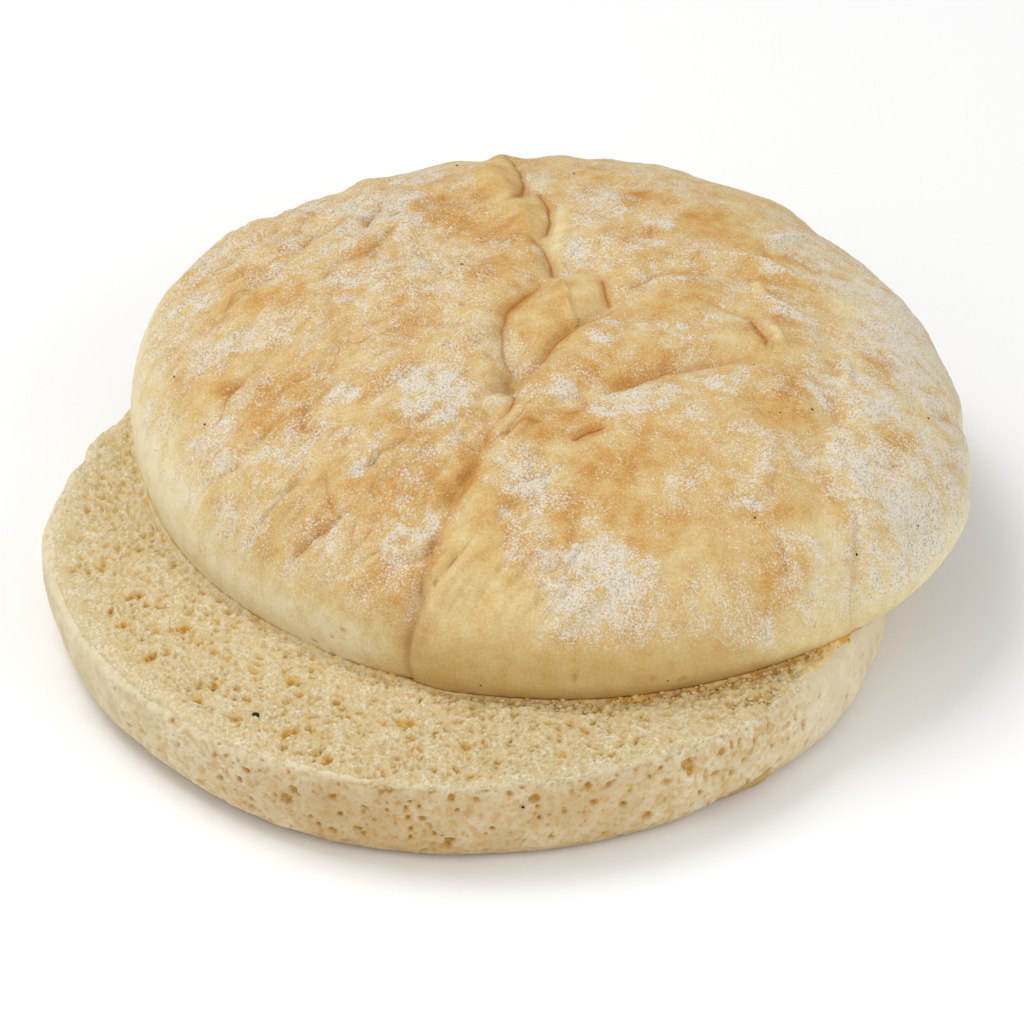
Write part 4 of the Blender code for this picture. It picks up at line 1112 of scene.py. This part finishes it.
def strewn(chance, count, dice):
    """Cells of the crust's grid picked at random by their chance times their area, and a place in each."""
    a, b, c = CRUST_PLACES[:-1, :-1], CRUST_PLACES[:-1, 1:], CRUST_PLACES[1:, :-1]
    area = np.linalg.norm(np.cross(b - a, c - a), axis=-1)
    odds = (chance[:-1, :-1] * area).ravel()
    picked = dice.choice(odds.size, size=count, p=odds / odds.sum())
    row, column = np.divmod(picked, CRUST_CELLS)
    down, across = dice.random((2, count, 1))
    place, facing = 0, 0
    for step_down, step_across in itertools.product((0, 1), repeat=2):
        share = (down if step_down else 1 - down) * (across if step_across else 1 - across)
        place = place + share * CRUST_PLACES[row + step_down, column + step_across]
        facing = facing + share * CRUST_FACING[row + step_down, column + step_across]
    return place, facing


def heaped(places, facing, sizes, shape, flatness, dice):
    """Vertices and faces of one small body at each place: the shape, turned at random, dented and flattened.

    Each corner is moved out or in by up to a third, and the part of it along the facing is cut by flatness.
    """
    corners, sides = shape
    count = len(places)
    turn = np.linalg.qr(dice.normal(size=(count, 3, 3)))[0]
    turn[:, :, 0] *= np.linalg.det(turn)[:, None]
    body = corners * dice.uniform(0.65, 1.3, (count, len(corners), 1)) * sizes[:, None, None]
    body = np.einsum("nij,nkj->nki", turn, body)
    standing = np.einsum("nki,ni->nk", body, facing)[..., None]
    body = body - flatness * standing * facing[:, None, :]
    points = (body + places[:, None, :]).reshape(-1, 3)
    faces = sides[None] + np.arange(count)[:, None, None] * len(corners)
    return points, faces.reshape(-1, sides.shape[1]).tolist()


def flour_material():
    """Baked-on wheat flour: dry, matt, warm white, a shade darker where the oven has caught it."""
    material, tree, shader, place = bread("baked_on_wheat_flour")
    tone = node(tree, "TexNoise", inputs={"Vector": place, "Scale": 900, "Detail": 2})  # 1 mm
    white = node(tree, "ValToRGB", inputs={"Fac": tone}, stops=((0.3, "DCD4BF"), (0.6, "E7E0CF")))
    surface(tree, shader, white, roughness=0.95, shine=0.1)
    return material


def flour():
    """The grains, small and many where the crust is floured, and fewer larger clumps where it is thickest."""
    dice = np.random.default_rng(11)
    grain_places, grain_facing = strewn(CRUST_FLOUR**GATHERED, GRAIN_COUNT, dice)
    grain_sizes = LEAST_GRAIN + MORE_GRAIN * dice.random(GRAIN_COUNT) ** 1.5
    points, faces = heaped(grain_places, grain_facing, grain_sizes, FOUR_SIDED, flatness=0.85, dice=dice)
    material = flour_material()
    bread_piece("flour_grains", points, faces, {}, material, "bun_crown")

    thick = smooth(CRUST_FLOUR, 0.62, 0.95) ** 2
    clump_places, clump_facing = strewn(thick, CLUMP_COUNT, dice)
    clump_sizes = LEAST_CLUMP + MORE_CLUMP * dice.random(CLUMP_COUNT) ** 3
    points, faces = heaped(clump_places, clump_facing, clump_sizes, EIGHT_SIDED, flatness=0.7, dice=dice)
    bread_piece("flour_clumps", points, faces, {}, material, "bun_crown")


flour()


# ------------------
# Loose crumbs: bits of crumb that the crown has rubbed off as it slid back, lying along its edge on the cut
# face of the base, brown near the crown's edge: partly their own browning, partly painted shade.
# ------------------

LOOSE_CRUMBS, LEAST_CRUMB, MORE_CRUMB = 620, 0.1, 0.42  # least radius, and what the largest adds to it


def rounder(shape):
    """The shape with each three-sided face cut in four at its edges' middles, every corner one away."""
    corners, sides = shape
    edges = np.sort(np.concatenate((sides[:, (0, 1)], sides[:, (1, 2)], sides[:, (2, 0)])), axis=1)
    kept, number = np.unique(edges, axis=0, return_inverse=True)
    middles = corners[kept].mean(axis=1)
    middles /= np.linalg.norm(middles, axis=1, keepdims=True)
    first, second, third = len(corners) + number.reshape(3, -1)
    a, b, c = sides.T
    parts = ((a, first, third), (first, b, second), (third, second, c), (first, second, third))
    return np.vstack((corners, middles)), np.concatenate([np.stack(part, axis=-1) for part in parts])


def loose_crumbs():
    """Small dented bodies at random places of the cut face, likelier the nearer to the crown's edge."""
    dice = np.random.default_rng(23)
    to_right, to_back = np.moveaxis(CRUMB_PLACES[..., :2] - BASE_MIDDLE, -1, 0)
    near = between(OUTSIDE_CROWN, -0.2, 0.3, 0.4, 3.2)
    at_front = smooth(to_right, -16, 8) * smooth(to_back, -24, -30)
    at_right = smooth(np.hypot(to_right - 44, to_back + 36), 12, 4) * (OUTSIDE_CROWN > 0)
    at_edge = between(OUTSIDE_CROWN, -0.5, -0.1, 0.1, 0.5)
    odds = (near * (0.04 + 0.5 * at_front) + 0.2 * at_right + 0.5 * at_edge * at_front).ravel()
    picked = dice.choice(odds.size, size=LOOSE_CRUMBS, p=odds / odds.sum())
    sizes = LEAST_CRUMB + MORE_CRUMB * dice.random(LOOSE_CRUMBS) ** 4
    places = CRUMB_PLACES.reshape(-1, 3)[picked] + (0, 0, 1) * (0.35 * sizes)[:, None]
    facing = np.tile((0.0, 0.0, 1.0), (LOOSE_CRUMBS, 1))
    shape = rounder(EIGHT_SIDED)
    points, faces = heaped(places, facing, sizes, shape, flatness=0.4, dice=dice)
    # Painted shade: the nearer a crumb lies to the crown's edge, the browner it is painted, partly for
    # browning.
    painted_shade_and_browning = smooth(OUTSIDE_CROWN.ravel()[picked], 2.4, 0.6) * dice.random(LOOSE_CRUMBS) ** 0.6
    marks = {
        "hollow": np.repeat(0.5 * dice.random(LOOSE_CRUMBS), len(shape[0])),
        "painted_shade_and_browning": np.repeat(painted_shade_and_browning, len(shape[0])),
    }
    material = crumb_material("loose_bread_crumb", True)
    bread_piece("loose_crumbs", points, faces, marks, material, "bun_base")


loose_crumbs()


# ------------------
# Charred specks: bits of burnt flour and oven ash, black and 0.25 to 1 mm across, stuck in the crust and,
# two of them, in the base.
# ------------------

# Right and back of the crown's middle, and radius.
CROWN_SPECKS = (
    (-12.7, 3.5, 0.26), (-13.9, 45.6, 0.3), (3.9, 37.3, 0.2), (29, -15.9, 0.16), (36.5, -24.2, 0.2),
    (32.2, -26.6, 0.14), (53.7, -16.7, 0.2), (27.9, -44.7, 0.16), (42.3, -43.8, 0.22), (51.6, -35.4, 0.16),
    (15.9, -61.3, 0.16), (-9.8, -61.7, 0.16), (-54.1, -4.7, 0.16), (-48.9, -18.8, 0.18), (-3, -39.5, 0.12),
)
WALL_SPECK = (277.5, 3.3)  # angle in degrees, depth below the cut
CUT_SPECK = (-28.7, -43.7)  # right and back of the base's middle
BASE_SPECK_SIZES = (0.28, 0.55)  # radius of each


def charred_material():
    """Burnt flour: matt brown-black, uneven."""
    material, tree, shader, place = bread("burnt_flour")
    tone = node(tree, "TexNoise", inputs={"Vector": place, "Scale": 3000, "Detail": 2})  # 0.3 mm
    burnt = node(tree, "ValToRGB", inputs={"Fac": tone}, stops=((0.35, "1A120B"), (0.65, "3E2A18")))
    surface(tree, shader, burnt, roughness=0.8, shine=0.5)
    return material


def charred_specks():
    """The specks on the crust, each at the grid place nearest to it, and the two in the base."""
    dice = np.random.default_rng(31)
    shape = rounder(EIGHT_SIDED)
    material = charred_material()
    spots = np.array(CROWN_SPECKS)
    away = np.linalg.norm(CRUST_PLACES[None, ..., :2] - CROWN_MIDDLE - spots[:, None, None, :2], axis=-1)
    away = away + 9 * (CRUST_ABOVE < 0.5)
    nearest = away.reshape(len(spots), -1).argmin(axis=1)
    places, facing = CRUST_PLACES.reshape(-1, 3)[nearest], CRUST_FACING.reshape(-1, 3)[nearest]
    points, faces = heaped(places, facing, spots[:, 2], shape, flatness=0.5, dice=dice)
    bread_piece("crown_specks", points, faces, {}, material, "bun_crown")

    wall_angle = math.radians(WALL_SPECK[0])
    on_wall = BASE_RADIUS * np.array((math.cos(wall_angle), math.sin(wall_angle)))
    places = np.array(((*on_wall, BASE_THICKNESS - WALL_SPECK[1]), (*CUT_SPECK, BASE_THICKNESS + 0.35)))
    places[:, :2] += BASE_MIDDLE
    facing = np.array(((*on_wall / BASE_RADIUS, 0.0), (0.0, 0.0, 1.0)))
    points, faces = heaped(places, facing, np.array(BASE_SPECK_SIZES), shape, flatness=0.5, dice=dice)
    bread_piece("base_specks", points, faces, {}, material, "bun_base")


charred_specks()


# ------------------
# Floor, light and camera: a plain white floor, a large soft light high at the back left, two weaker ones at
# the front, an even white surround, and a long lens looking down at 35 degrees.
# ------------------

FLOOR_HALF = 6000.0
VIEW_ELEVATION = math.radians(34.82)
VIEW_DISTANCE = 800.0
SENSOR = 36.0
VIEW_WIDTH = 1024 / 6.981  # shown across at its distance: 1024 dots, 6.981 of them to the millimetre
AIM_RIGHT = 6.33  # from the middle of the base's cut face to the middle of the view
AIM_UP = 3.12
LIGHTS_AIM = (0, 0, 15)  # inside the bun


def floor():
    """A white board under the bun, large enough to fill every view."""
    material, tree, shader, place = bread("white_painted_board")
    tone = node(tree, "TexNoise", inputs={"Vector": place, "Scale": 3})
    shade = node(tree, "ValToRGB", inputs={"Fac": tone}, stops=((0.3, "F8F8F7"), (0.7, "FAFAFA")))
    surface(tree, shader, shade, roughness=0.9, shine=0.1)
    mesh = bpy.data.meshes.new("floor")
    corners = np.array(((-1, -1, 0), (1, -1, 0), (1, 1, 0), (-1, 1, 0)), float) * FLOOR_HALF * MM
    mesh.from_pydata(corners, [], [(0, 1, 2, 3)])
    mesh.materials.append(material)
    board = bpy.data.objects.new("floor", mesh)
    bpy.context.scene.collection.objects.link(board)


def aimed(name, data, place, target):
    """An object for a light or a camera, at a place and facing a target, both in millimetres."""
    thing = bpy.data.objects.new(name, data)
    facing = mathutils.Vector(np.subtract(target, place))
    thing.rotation_euler = facing.to_track_quat("-Z", "Y").to_euler()
    thing.location = mathutils.Vector(place) * MM
    bpy.context.scene.collection.objects.link(thing)
    return thing


def soft_light(name, place, width, depth, power):
    """A rectangular soft box facing the bun."""
    data = bpy.data.lights.new(name, "AREA")
    data.shape = "RECTANGLE"
    data.size, data.size_y = width * MM, depth * MM
    data.energy = power
    aimed(name, data, place, LIGHTS_AIM)


def sky(strength):
    """An even white surround, the light of a white studio."""
    world = bpy.data.worlds.new("white_studio")
    world.use_nodes = True
    background = world.node_tree.nodes["Background"]
    background.inputs["Color"].default_value = (1, 1, 1, 1)
    background.inputs["Strength"].default_value = strength
    bpy.context.scene.world = world


def camera():
    """The camera, looking from the front down at the middle of the view."""
    sine, cosine = math.sin(VIEW_ELEVATION), math.cos(VIEW_ELEVATION)
    cut_middle = np.array((*BASE_MIDDLE, BASE_THICKNESS))
    target = cut_middle + np.array((AIM_RIGHT, AIM_UP * sine, AIM_UP * cosine))
    place = target + VIEW_DISTANCE * np.array((0, -cosine, sine))
    data = bpy.data.cameras.new("camera")
    data.sensor_width = SENSOR
    data.lens = SENSOR * VIEW_DISTANCE / VIEW_WIDTH
    data.clip_start, data.clip_end = 0.05, 50.0
    bpy.context.scene.camera = aimed("camera", data, place, target)


floor()
soft_light("key_light", (-300, 180, 640), width=380, depth=380, power=2.6)
soft_light("right_fill", (480, -420, 380), width=500, depth=500, power=1.75)
soft_light("left_fill", (-460, -440, 300), width=500, depth=500, power=0.9)
sky(strength=0.5)
camera()
bpy.context.scene.view_settings.view_transform = "Standard"
bpy.context.scene.view_settings.look = "None"
